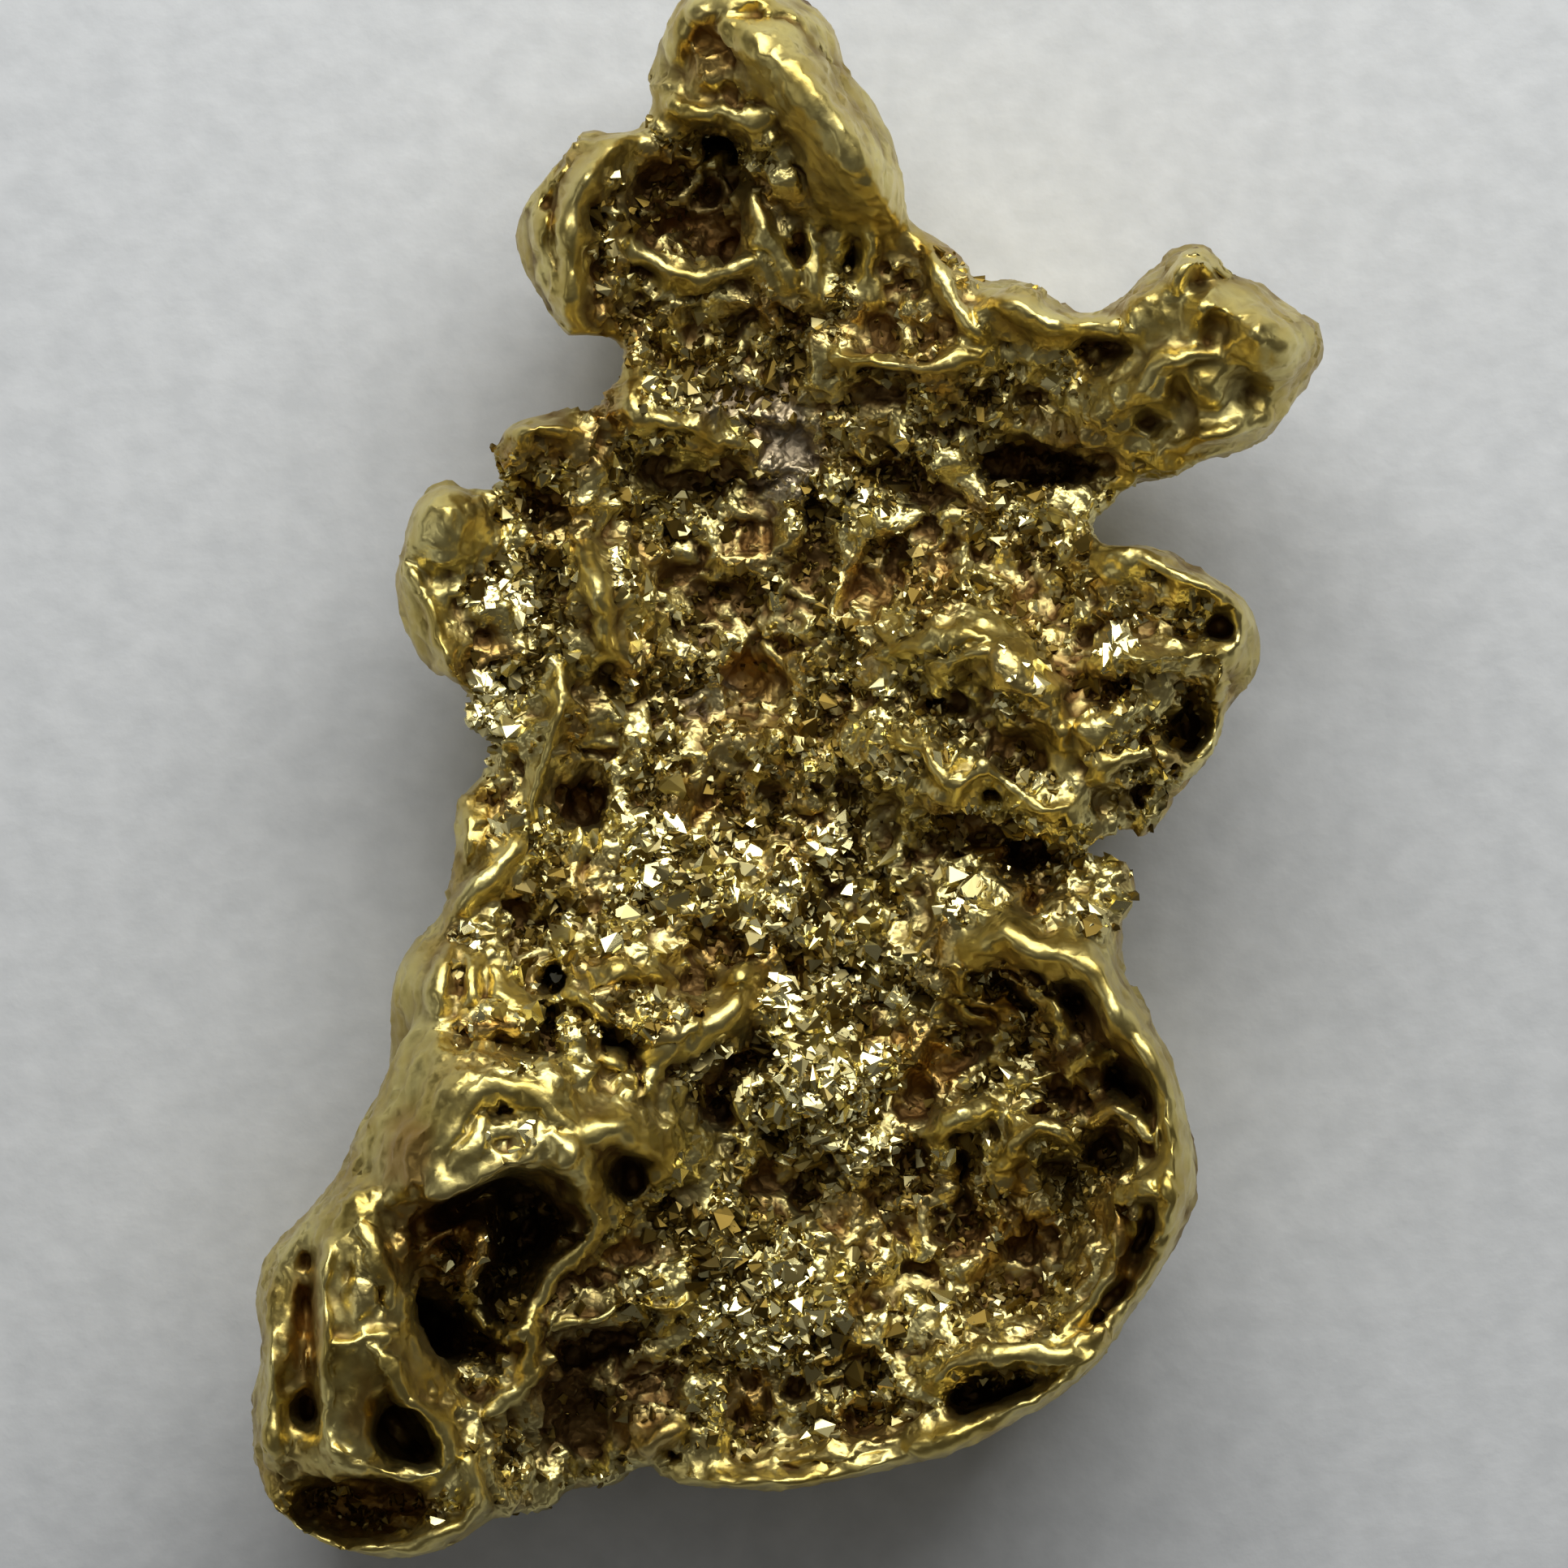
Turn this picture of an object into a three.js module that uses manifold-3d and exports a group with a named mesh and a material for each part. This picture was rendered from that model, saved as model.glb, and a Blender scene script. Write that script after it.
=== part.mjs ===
// A gold nugget, about 20 mm long, lying on its worn belly with its cavernous face up.
// Millimetres. +Z is up, +Y runs towards the crown, +X towards the arm.
// The origin is on the table under the middle of the nugget.

import * as THREE from 'three';
import { edgeTable, triTable } from 'three/addons/objects/MarchingCubes.js';
import { ImprovedNoise } from 'three/addons/math/ImprovedNoise.js';
import { mergeVertices } from 'three/addons/utils/BufferGeometryUtils.js';
import Module from 'manifold-3d';

// Driving sizes
const HEIGHT_MOST = 6.6;
const EDGE_ROUND = 1.05;
const RIDGE_BLEND = 0.26;
const PIT_BLEND = 0.12;
const RIM_BLEND = 0.25;
const RIDGE_SWELL = 0.02;
const SIDE = { widest: 3.4, wander: 0.6, leanUp: 0.09, leanDown: 1.15, roughness: 0.2 };
const FLANK = { depth: 1.3, slope: 0.62 };
const STRAND_FLANK = { depth: 0.9, slope: 0.4 };
const CELL = 0.17;
const TRIANGLES_WANTED = 9700;

// Relief that the lists below leave out: grains in the basin, soft lumps under the belly
const GRAIN = { height: 0.17, length: 0.58 };
const LUMPS = { height: 0.28, length: 1.5 };
const SMOOTH_BORDER = 1.3;

// The rim as seen from above, clockwise from the crown
const CROWN_RIM = [
  [-1.35, 9.82], [-0.57, 10.07], [0.16, 9.87], [0.6, 9.45], [0.76, 8.87], [1, 8.63], [1.2, 8.32],
  [1.38, 7.91], [1.51, 7.29], [1.55, 6.94],
];
const SHOULDER_RIM = [
  [1.76, 6.84], [2.13, 6.53], [2.31, 6.14], [2.67, 6.18], [3.08, 6.18], [3.36, 5.98],
  [3.6, 5.81], [3.88, 5.78], [4.13, 5.82],
];
const ARM_RIM = [
  [4.39, 6.08], [4.68, 6.33], [4.84, 6.55], [5.25, 6.71], [5.49, 6.57], [5.65, 6.3], [6.02, 6.25],
  [6.42, 5.88], [6.71, 5.76], [6.85, 5.48], [6.71, 5.09], [6.44, 4.65], [6.13, 4.25], [5.69, 4.01],
  [5.21, 3.89], [4.82, 3.65], [4.37, 3.55], [4.14, 3.32], [3.92, 2.94],
];
const RIGHT_LOBE_RIM = [
  [4.12, 2.82], [4.57, 2.83], [5.07, 2.66], [5.61, 2.31], [5.9, 2.1], [5.93, 1.65], [5.73, 1.25],
  [5.6, 0.92], [5.54, 0.46], [5.32, 0.03], [4.91, -0.42], [4.68, -0.71], [4.42, -0.85],
  [4.16, -0.71], [4.02, -0.85], [3.79, -0.93], [3.88, -1.21], [4.28, -1.12], [4.45, -1.41],
  [4.39, -1.75], [4.21, -2.08], [4.22, -2.37],
];
const BOWL_RIM = [
  [4.61, -3.15], [4.93, -3.72], [5.09, -4.36], [5.2, -5], [5.13, -5.68], [4.91, -6.2],
  [4.4, -6.95], [3.92, -7.64], [2.97, -8.3], [1.98, -8.78], [0.69, -9.07], [-0.3, -9.25],
  [-1.14, -9.21], [-1.54, -9.04], [-1.79, -8.82],
];
const FOOT_RIM = [
  [-2.07, -9.13], [-2.59, -9.36], [-3.21, -9.49], [-3.81, -9.57], [-4.06, -9.8], [-4.61, -10.02],
  [-5.28, -10.06], [-5.91, -9.89], [-6.47, -9.51], [-6.78, -9], [-6.86, -8.45], [-6.78, -7.77],
  [-6.71, -7.15], [-6.72, -6.52], [-6.52, -6.07], [-6.15, -5.71],
];
const LEFT_RIM = [
  [-5.87, -5.35], [-5.49, -4.67], [-5.2, -4.01], [-5.06, -3.32], [-5.05, -2.85], [-4.89, -2.37],
  [-4.45, -1.94], [-4.29, -1.52], [-4.19, -0.89], [-4.29, -0.42], [-3.95, -0.17], [-3.83, 0.2],
  [-3.93, 0.58],
  [-4.18, 1.02], [-4.59, 1.24], [-4.87, 1.72], [-4.98, 2.22], [-4.91, 2.68], [-4.78, 3.3], [-4.4, 3.7],
  [-4, 3.56], [-3.7, 3.65], [-3.69, 4.18], [-3.36, 4.44], [-2.76, 4.49], [-2.33, 4.64], [-2.09, 5.19],
];
const UPPER_LEFT_RIM = [
  [-2.4, 5.43], [-2.8, 5.48], [-3.03, 5.82], [-3.36, 6.39], [-3.48, 6.82], [-3.31, 7.29], [-2.9, 7.71],
  [-2.43, 8.08], [-2.02, 8.07], [-1.72, 8.27], [-1.72, 8.79], [-1.6, 9.31],
];
const RIM = [
  ...CROWN_RIM, ...SHOULDER_RIM, ...ARM_RIM, ...RIGHT_LOBE_RIM,
  ...BOWL_RIM, ...FOOT_RIM, ...LEFT_RIM, ...UPPER_LEFT_RIM,
];

// Heights of the upper face: x, y, height above the table, and how far each one reaches
const UPPER_LEVELS = [
  // crown, upper left lobe and neck
  [-0.93, 9.05, 4.1, 0.6], [0.16, 8.79, 4.8, 0.6], [0.95, 7.91, 4.2, 0.6], [-0.41, 7.39, 3.2, 0.7],
  [0.41, 6.72, 3.6, 0.6], [1.14, 6.61, 3.8, 0.6], [-2.36, 7.13, 3.8, 0.6], [-2.8, 6.3, 3.3, 0.6],
  [-3.31, 6.82, 2.5, 0.4], [-1.55, 7.13, 2.7, 0.7], [-0.72, 5.68, 3.3, 0.8], [-1.45, 5.06, 3.2, 0.7],
  [-0.1, 4.23, 3.0, 0.8], [1.35, 5.17, 3.5, 0.8],
  // shoulder and arm
  [1.86, 6.41, 3.8, 0.5], [2.8, 5.68, 3.9, 0.6], [3.83, 5.58, 3.8, 0.5], [3.31, 4.65, 3.3, 0.6],
  [3.42, 3.72, 2.9, 0.7], [4.97, 5.99, 4.7, 0.6], [6.11, 5.68, 4.8, 0.7], [6.42, 4.96, 4.2, 0.5],
  [5.38, 4.96, 4.4, 0.7], [4.87, 4.03, 3.8, 0.5],
  // left side and basin
  [-4.45, 3.2, 3.9, 0.5], [-3.21, 4.03, 3.7, 0.6], [-4.71, 2.06, 2.7, 0.4], [-3.73, 2.37, 3.3, 0.7],
  [-2.59, 2.37, 3.4, 0.8], [-1.24, 2.58, 2.7, 0.9], [-0.21, 3.1, 2.6, 1.0], [0.83, 2.37, 2.6, 1.0],
  [1.97, 3.1, 3.1, 0.9], [3, 2.99, 3.4, 0.8], [-2.9, 0.51, 3.1, 0.8], [-1.24, 1.02, 2.9, 0.9],
  [-0.1, -0.01, 2.8, 1.0], [1.04, -0.01, 2.6, 0.8], [-3.62, -0.53, 3.3, 0.7], [-1.76, -1.36, 3.3, 1.0],
  [-0.21, -1.36, 3.1, 1.0], [1.45, -1.67, 2.8, 0.9],
  // right lobe and block
  [4.45, 2.27, 4.1, 0.7], [5.49, 1.65, 4.2, 0.6], [4.76, 0.92, 3.6, 0.6], [4.87, -0.01, 3.7, 0.6],
  [4.4, -0.53, 3.4, 0.5], [2.38, 1.23, 3.8, 0.7], [1.86, 0.2, 3.5, 0.5], [3.31, -0.01, 3.7, 0.6],
  [2.38, -0.84, 2.9, 0.6], [3.11, -1.36, 2.6, 0.5], [4.04, -1.67, 3.3, 0.4],
  // middle of the lower half
  [-4.45, -2.7, 3.7, 0.7], [-1.76, -2.91, 3.6, 0.9], [-3.42, -3.48, 3.0, 0.5], [-0.21, -3.01, 3.3, 0.9],
  [0.31, -4.05, 3.6, 0.9], [-0.31, -5.19, 3.3, 0.9], [-0.21, -6.74, 3.6, 0.9], [1.35, -3.63, 3.0, 0.9],
  [1.45, -5.7, 3.2, 0.9], [0.31, -8.5, 3.3, 0.8], [-1.14, -7.77, 3.1, 0.8],
  // bowl on the lower right
  [3.31, -2.29, 4.3, 0.5], [2.9, -2.86, 2.9, 0.4], [4.3, -3.53, 4.2, 0.6], [4.87, -4.88, 4.5, 0.6],
  [4.71, -6.12, 4.3, 0.6], [3.52, -3.63, 3.2, 0.7], [3.52, -5.19, 2.9, 0.8], [2.38, -5.19, 3.0, 0.7],
  [3.21, -6.74, 3.2, 0.8], [2.38, -7.15, 3.4, 0.6], [3.83, -7.57, 4.1, 0.4], [2.17, -8.45, 3.6, 0.6],
  // lobe on the lower left and the foot
  [-3.83, -4.15, 5.2, 0.6], [-4.45, -4.67, 5.3, 0.5], [-5.18, -4.67, 4.3, 0.4],
  [-2.54, -4.88, 4.9, 0.5],
  [-3.62, -5.7, 2.9, 0.6], [-4.24, -6.95, 2.2, 0.7], [-5.54, -6.33, 5.2, 0.5], [-5.49, -7.77, 5.1, 0.5],
  [-6.47, -6.74, 4.0, 0.4], [-6.57, -8.5, 4.1, 0.4], [-5.38, -9.43, 3.2, 0.6], [-5.59, -9.93, 4.0, 0.4],
  [-3.99, -9.33, 4.0, 0.5], [-3.62, -7.88, 3.9, 0.5], [-2.17, -6.74, 3.8, 0.6], [-2.8, -7.98, 3.0, 0.6],
  [-2.17, -8.81, 2.9, 0.6], [-1.35, -8.71, 3.4, 0.5],
];

// Heights of the under face; below zero the table wears it flat
const UNDER_LEVELS = [
  [-0.31, 9.2, 1.7, 1.1], [-0.72, 7.24, 0.7, 1.2], [-3, 6.93, 1.1, 1.0], [-0.21, 5.17, 0.3, 1.2],
  [6.11, 5.37, 2.3, 1.1], [4.66, 5.06, 1.5, 1.1], [2.9, 5.27, 0.8, 1.1], [-4.45, 3.2, 1.5, 1.0],
  [-4.66, 1.85, 1.3, 0.8], [-2.28, 3.1, 0.4, 1.2], [-0.41, 2.37, -0.35, 1.4], [1.55, 2.58, -0.25, 1.3],
  [5.28, 1.54, 1.5, 1.1], [3.52, 0.92, 0.4, 1.1], [-2.8, 0.51, 0.5, 1.1], [-0.41, -0.42, 0.35, 1.3],
  [4.24, -1.36, 1.3, 0.8], [2.17, -1.46, 0.25, 1.2], [-4.04, -1.15, 1.0, 0.9], [-2.17, -2.08, 0.3, 1.2],
  [0.41, -3.84, -0.3, 1.5], [2.69, -3.94, -0.3, 1.3], [4.76, -4.88, 1.0, 1.0], [-4.76, -3.53, 0.8, 0.9],
  [-3.31, -4.98, -0.25, 1.2], [-1.45, -6.01, -0.3, 1.4], [-5.07, -6.33, 0.1, 1.0],
  [-6.42, -7.26, 0.9, 0.9],
  [-5.59, -9.53, 0.9, 0.9], [-3.62, -8.71, 0.4, 1.1], [-0.21, -8.6, 0.8, 1.0], [1.66, -6.95, 0.1, 1.3],
  [3.73, -6.74, 0.7, 1.0],
];

// Ridges, rims and strands: each point is x, y, height of its middle, half width
const CROWN_RIDGES = {
  crest: [
    [-0.67, 9.36, 4.9, 0.2], [-0.23, 9.14, 5.1, 0.24], [0.21, 8.58, 5.2, 0.25], [0.83, 7.75, 4.9, 0.25],
    [1.35, 7.05, 4.1, 0.2],
  ],
  arch: [
    [-1.43, 9.2, 3.9, 0.2], [-1.18, 9.68, 4.2, 0.22], [-0.54, 9.8, 4.4, 0.24], [0.16, 9.6, 4.5, 0.24],
    [0.57, 9.18, 4.4, 0.22], [0.93, 8.37, 4.1, 0.22],
  ],
  lip: [[-1.57, 8.48, 4.0, 0.17], [-0.93, 8.35, 4.2, 0.18], [-0.21, 8.27, 4.4, 0.17]],
  lobeRim: [
    [-2.12, 8, 4.2, 0.2], [-2.55, 7.53, 4.4, 0.2], [-2.77, 6.82, 4.3, 0.2], [-2.74, 6.25, 4.1, 0.2],
    [-2.75, 5.84, 3.9, 0.18], [-2.36, 5.48, 3.5, 0.17],
  ],
  backWeb: [
    [-2.9, 7.63, 3.3, 0.15], [-3.18, 7.11, 3.3, 0.15], [-3.04, 6.49, 3.2, 0.15],
    [-2.77, 5.63, 3.2, 0.15],
  ],
  neckCurl: [
    [-1.97, 4.86, 3.6, 0.13], [-1.9, 4.44, 3.7, 0.14], [-1.45, 4.44, 3.7, 0.13],
    [-0.91, 4.15, 3.5, 0.13],
  ],
  neckLedge: [[0.62, 5.27, 3.8, 0.14], [1.76, 5.14, 4.0, 0.14], [2.4, 5.29, 4.1, 0.14]],
};
const ARM_RIDGES = {
  shoulder: [[1.82, 6.66, 4.1, 0.15], [2.03, 6.24, 4.1, 0.15], [2.44, 5.66, 4.1, 0.15]],
  saddle: [
    [2.61, 6.01, 4.2, 0.2], [3.13, 5.97, 4.4, 0.2], [3.54, 5.6, 4.3, 0.18], [4.19, 5.6, 4.3, 0.18],
  ],
  knuckle: [
    [4.45, 5.7, 4.8, 0.2], [4.76, 6.2, 5.0, 0.22], [5.05, 6.45, 5.1, 0.22], [5.4, 6.41, 5.1, 0.22],
  ],
  knuckleBump: [[5.32, 5.95, 5.0, 0.28], [5.36, 5.95, 5.0, 0.28]],
  tip: [[5.69, 5.89, 5.1, 0.3], [6.13, 5.79, 5.2, 0.36], [6.4, 5.42, 5.0, 0.34]],
  palm: [[4.19, 4.65, 4.6, 0.16], [4.53, 4.79, 4.8, 0.16], [4.87, 5.14, 4.8, 0.16]],
  lowerRim: [[4.87, 4.03, 4.1, 0.18], [5.38, 4.29, 4.5, 0.18], [6.13, 4.36, 4.4, 0.18]],
};
const LEFT_RIDGES = {
  ball: [[-4.45, 3.24, 4.0, 0.4], [-4.43, 3.12, 4.0, 0.4]],
  backRim: [[-4.87, 2.56, 3.5, 0.15], [-4.51, 1.9, 3.5, 0.15], [-4.17, 0.97, 3.5, 0.15]],
  ledge: [[-3.62, 4.32, 4.1, 0.18], [-3.21, 4.38, 4.1, 0.18], [-2.75, 4.28, 3.9, 0.16]],
  spine: [[-2.57, 2.78, 3.7, 0.16], [-2.42, 2.35, 3.8, 0.18], [-2.28, 1.56, 3.7, 0.2]],
  wall: [[-2.9, 1.23, 3.5, 0.14], [-2.92, 0.63, 3.5, 0.14], [-3.26, -0.53, 3.5, 0.14]],
  edge: [[-4.08, -0.27, 3.5, 0.16], [-4.06, -1.15, 3.5, 0.16]],
  spur: [[-3.42, -0.94, 3.7, 0.16], [-3.83, -1.46, 3.8, 0.16], [-4.24, -1.85, 3.8, 0.16]],
  arc: [[-0.52, 0.07, 3.0, 0.13], [-0.12, 0.4, 3.1, 0.13], [0.23, 0.28, 3.0, 0.13]],
};
const RIGHT_RIDGES = {
  brow: [
    [4.06, 2.72, 4.3, 0.17], [4.66, 2.64, 4.5, 0.2], [5.24, 2.39, 4.5, 0.2], [5.67, 2, 4.5, 0.22],
    [5.67, 1.54, 4.4, 0.2],
  ],
  side: [[5.49, 1.36, 4.3, 0.16], [5.42, 0.51, 4.2, 0.16], [4.66, -0.53, 3.9, 0.16]],
  diagonal: [[3.73, 0.49, 4.2, 0.15], [4.14, 0.56, 4.3, 0.15], [4.47, 0.94, 4.3, 0.15]],
  lower: [[3.93, -0.11, 4.1, 0.15], [4.16, 0.09, 4.2, 0.15], [5.09, 0.09, 4.1, 0.15]],
  blockTop: [[1.4, 1.52, 3.8, 0.15], [1.86, 1.65, 4.0, 0.17], [2.46, 1.69, 4.2, 0.17]],
  slope: [
    [2.53, 1.52, 4.3, 0.24], [2.92, 1.21, 4.3, 0.3], [3.31, 0.8, 4.1, 0.28], [3.54, 0.14, 3.9, 0.2],
  ],
  blockFront: [[1.86, 1.23, 3.9, 0.14], [2.13, 1.4, 4.0, 0.14], [2.54, 1.52, 4.2, 0.14]],
  ledge: [
    [1.45, 0.35, 3.8, 0.15], [1.78, 0.24, 3.9, 0.15], [2.11, -0.22, 3.9, 0.17], [2.51, 0.04, 3.9, 0.15],
    [2.96, -0.32, 3.9, 0.17], [3.33, -0.55, 4.0, 0.17], [3.64, -0.4, 4.0, 0.17],
  ],
  spike: [[3.42, -1.38, 3.1, 0.3], [3.93, -1.4, 3.4, 0.24], [4.29, -1.34, 3.6, 0.15]],
};
const BOWL_RIDGES = {
  rim: [
    [2.43, -2.31, 4.2, 0.15], [2.8, -2.1, 4.4, 0.18], [3.13, -2.32, 4.4, 0.18],
    [3.64, -2.4, 4.5, 0.2], [4, -2.68, 4.6, 0.22], [4.31, -3.24, 4.7, 0.25],
    [4.64, -3.63, 4.7, 0.27], [4.89, -4.15, 4.7, 0.3], [4.97, -5.08, 4.8, 0.3],
    [4.8, -6.01, 4.7, 0.3], [4.4, -6.74, 4.5, 0.27], [3.85, -7.48, 4.2, 0.22],
  ],
  lowerRim: [
    [3.73, -7.67, 4.1, 0.2], [3.02, -8.13, 3.9, 0.2], [2.07, -8.56, 3.8, 0.2], [0.83, -8.87, 3.7, 0.2],
    [-0.52, -9.08, 3.7, 0.2], [-1.43, -8.98, 3.6, 0.18],
  ],
  slotLip: [
    [1.86, -7.77, 3.9, 0.16], [2.09, -7.57, 4.0, 0.17], [2.61, -7.44, 4.1, 0.17],
    [3.73, -7.46, 4.2, 0.17],
  ],
  slotWall: [
    [4.16, -5.6, 4.0, 0.15], [4.18, -6.12, 4.0, 0.15], [3.93, -6.64, 3.9, 0.15],
    [3.52, -7.15, 3.8, 0.15],
  ],
};
const MIDDLE_RIDGES = {
  leafTop: [
    [-2.8, -2.74, 4.1, 0.16], [-2.51, -2.62, 4.2, 0.17], [-2.15, -2.48, 4.2, 0.17],
    [-1.74, -2.57, 4.1, 0.16],
  ],
  leafBar: [[-2.86, -2.78, 4.0, 0.15], [-2.57, -3.02, 4.0, 0.15], [-2.25, -3.25, 3.9, 0.15]],
  leafBottom: [
    [-1.71, -4.01, 3.9, 0.15], [-1.57, -3.65, 4.0, 0.17], [-1.22, -3.52, 4.0, 0.18],
    [-0.66, -2.99, 3.9, 0.17],
    [-0.51, -2.62, 3.8, 0.15],
  ],
  cluster: [[-4.29, -2.29, 4.1, 0.16], [-4.44, -2.83, 4.3, 0.17], [-4.37, -3.18, 4.2, 0.16]],
  clusterBranch: [[-4.04, -2.39, 4.1, 0.17], [-3.71, -2.72, 4.0, 0.16], [-3.37, -3.05, 3.9, 0.15]],
  thinLedge: [
    [-2.9, -7.05, 4.0, 0.13], [-2.36, -6.99, 4.0, 0.13], [-1.97, -6.8, 4.0, 0.13],
    [-1.24, -6.76, 3.8, 0.13],
  ],
  curl: [[-1.76, -8.77, 3.8, 0.15], [-1.6, -8.5, 3.8, 0.15], [-1.3, -8.4, 3.7, 0.15]],
  pillar: [[-1.12, -7.98, 3.6, 0.2], [-0.97, -8.71, 3.5, 0.2]],
};
const LOBE_RIDGES = {
  crest: [
    [-4.81, -5.37, 5.3, 0.22], [-4.53, -4.96, 5.6, 0.25], [-4.02, -4.17, 5.7, 0.28],
    [-3.6, -4.03, 5.6, 0.28],
    [-3.23, -4.12, 5.6, 0.28], [-2.59, -4.67, 5.3, 0.25],
  ],
  rightBranch: [[-2.59, -4.67, 5.3, 0.24], [-2.15, -4.57, 5.1, 0.22], [-1.74, -4.96, 4.5, 0.18]],
  plateau: [
    [-5.49, -5.6, 5.0, 0.32], [-5.57, -6.43, 5.1, 0.38], [-5.53, -7.26, 5.1, 0.4],
    [-5.57, -8.6, 4.8, 0.34],
  ],
  plateauEdge: [
    [-5.36, -5.83, 5.3, 0.16], [-4.97, -6.76, 5.1, 0.16], [-5.11, -7.38, 5.2, 0.16],
    [-4.81, -7.94, 4.9, 0.16],
    [-4.33, -8.42, 4.5, 0.16],
  ],
  wallFoot: [[-5.8, -8.73, 4.7, 0.16], [-4.87, -9, 4.6, 0.16], [-4.22, -9.18, 4.4, 0.16]],
  outerWall: [[-6.47, -6.12, 4.2, 0.24], [-6.56, -7.15, 4.3, 0.24], [-6.63, -8.52, 4.3, 0.24]],
  ringRim: [
    [-6.73, -9.22, 4.1, 0.2], [-6.4, -9.66, 4.1, 0.2], [-5.88, -9.9, 4.1, 0.22],
    [-4.87, -9.9, 4.1, 0.22],
    [-4.16, -9.64, 4.1, 0.22], [-3.91, -9.33, 4.2, 0.2], [-4.08, -8.81, 4.4, 0.18],
    [-4.33, -8.42, 4.5, 0.18],
  ],
};
const UNDER_RIDGES = [
  [[-0.72, 4.03, 0.3, 0.4], [0.41, 1.34, 0.25, 0.5], [-0.41, -0.63, 0.4, 0.4]],
  [[-3.42, 0.71, 0.7, 0.35], [-1.76, 1.34, 0.5, 0.4], [-0.1, 0.92, 0.35, 0.4]],
  [[2.38, 4.44, 0.8, 0.4], [4.24, 4.96, 1.4, 0.4], [5.49, 5.17, 1.9, 0.4]],
  [[2.17, 0.51, 0.4, 0.4], [3.73, 1.02, 0.7, 0.4], [4.76, 1.34, 1.2, 0.4]],
  [[2.17, -2.6, 0.3, 0.4], [3.73, -3.94, 0.7, 0.45], [4.04, -5.91, 0.8, 0.45]],
  [[-4.66, -5.7, 0.3, 0.4], [-5.28, -7.57, 0.6, 0.45], [-5.07, -9.02, 0.8, 0.4]],
  [[-0.72, 6.41, 0.6, 0.4], [-0.31, 8.06, 1.1, 0.4], [-0.1, 9.2, 1.6, 0.35]],
];
// Strands that cross the caves, thin flanked and free of the pits
const STRANDS = Object.values({
  crownStrand: [[-0.47, 7.34, 3.6, 0.13], [-0.29, 6.88, 3.6, 0.13], [0.05, 6.2, 3.6, 0.13]],
  hollowRim: [[-2.07, 6.72, 3.4, 0.13], [-1.37, 6.3, 3.4, 0.13], [-0.47, 6.49, 3.6, 0.13]],
  bowlShelf: [
    [2.8, -2.55, 3.8, 0.14], [3.02, -2.83, 3.7, 0.14], [3.42, -2.99, 3.7, 0.14],
    [3.54, -3.36, 3.6, 0.14],
  ],
  upperCurl: [[3.6, -4.03, 3.8, 0.14], [3.79, -3.67, 3.9, 0.14], [4.18, -3.61, 4.1, 0.14]],
  middleCurl: [[3.93, -4.48, 3.7, 0.14], [4.24, -4.25, 3.9, 0.14], [4.66, -4.79, 4.1, 0.14]],
  lowerCurl: [
    [2.74, -5.06, 3.6, 0.14], [2.92, -4.75, 3.8, 0.14], [3.23, -4.52, 3.8, 0.14],
    [3.77, -4.86, 3.7, 0.14],
  ],
  innerCurl: [[1.92, -4.65, 3.5, 0.14], [2.17, -4.42, 3.7, 0.14], [2.55, -4.31, 3.7, 0.14]],
  tab: [[4.14, -5.52, 4.0, 0.14], [4.43, -5.31, 4.3, 0.14], [4.7, -5.33, 4.5, 0.14]],
  downBranch: [
    [-2.77, -4.69, 5.3, 0.24], [-2.61, -5.12, 5.1, 0.22], [-2.42, -5.72, 4.5, 0.16],
    [-2.9, -6.33, 4.1, 0.14],
    [-3.25, -6.95, 4.0, 0.14], [-3.31, -7.59, 4.1, 0.14],
  ],
  innerStrand: [
    [-3.73, -5.7, 3.4, 0.14], [-4.04, -6.39, 3.7, 0.14], [-3.85, -7.07, 3.8, 0.14],
    [-3.36, -7.17, 3.9, 0.14],
  ],
  cavitySide: [[-3.83, -8.19, 4.0, 0.15], [-3.5, -7.98, 4.0, 0.15], [-3.19, -7.67, 4.0, 0.15]],
  bar: [[3.93, 1.27, 4.3, 0.17], [4.37, 1.4, 4.5, 0.2], [5.49, 1.42, 4.4, 0.18]],
});
const RIDGES = [
  CROWN_RIDGES, ARM_RIDGES, LEFT_RIDGES, RIGHT_RIDGES, BOWL_RIDGES, MIDDLE_RIDGES, LOBE_RIDGES,
].flatMap((group) => Object.values(group));

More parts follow.
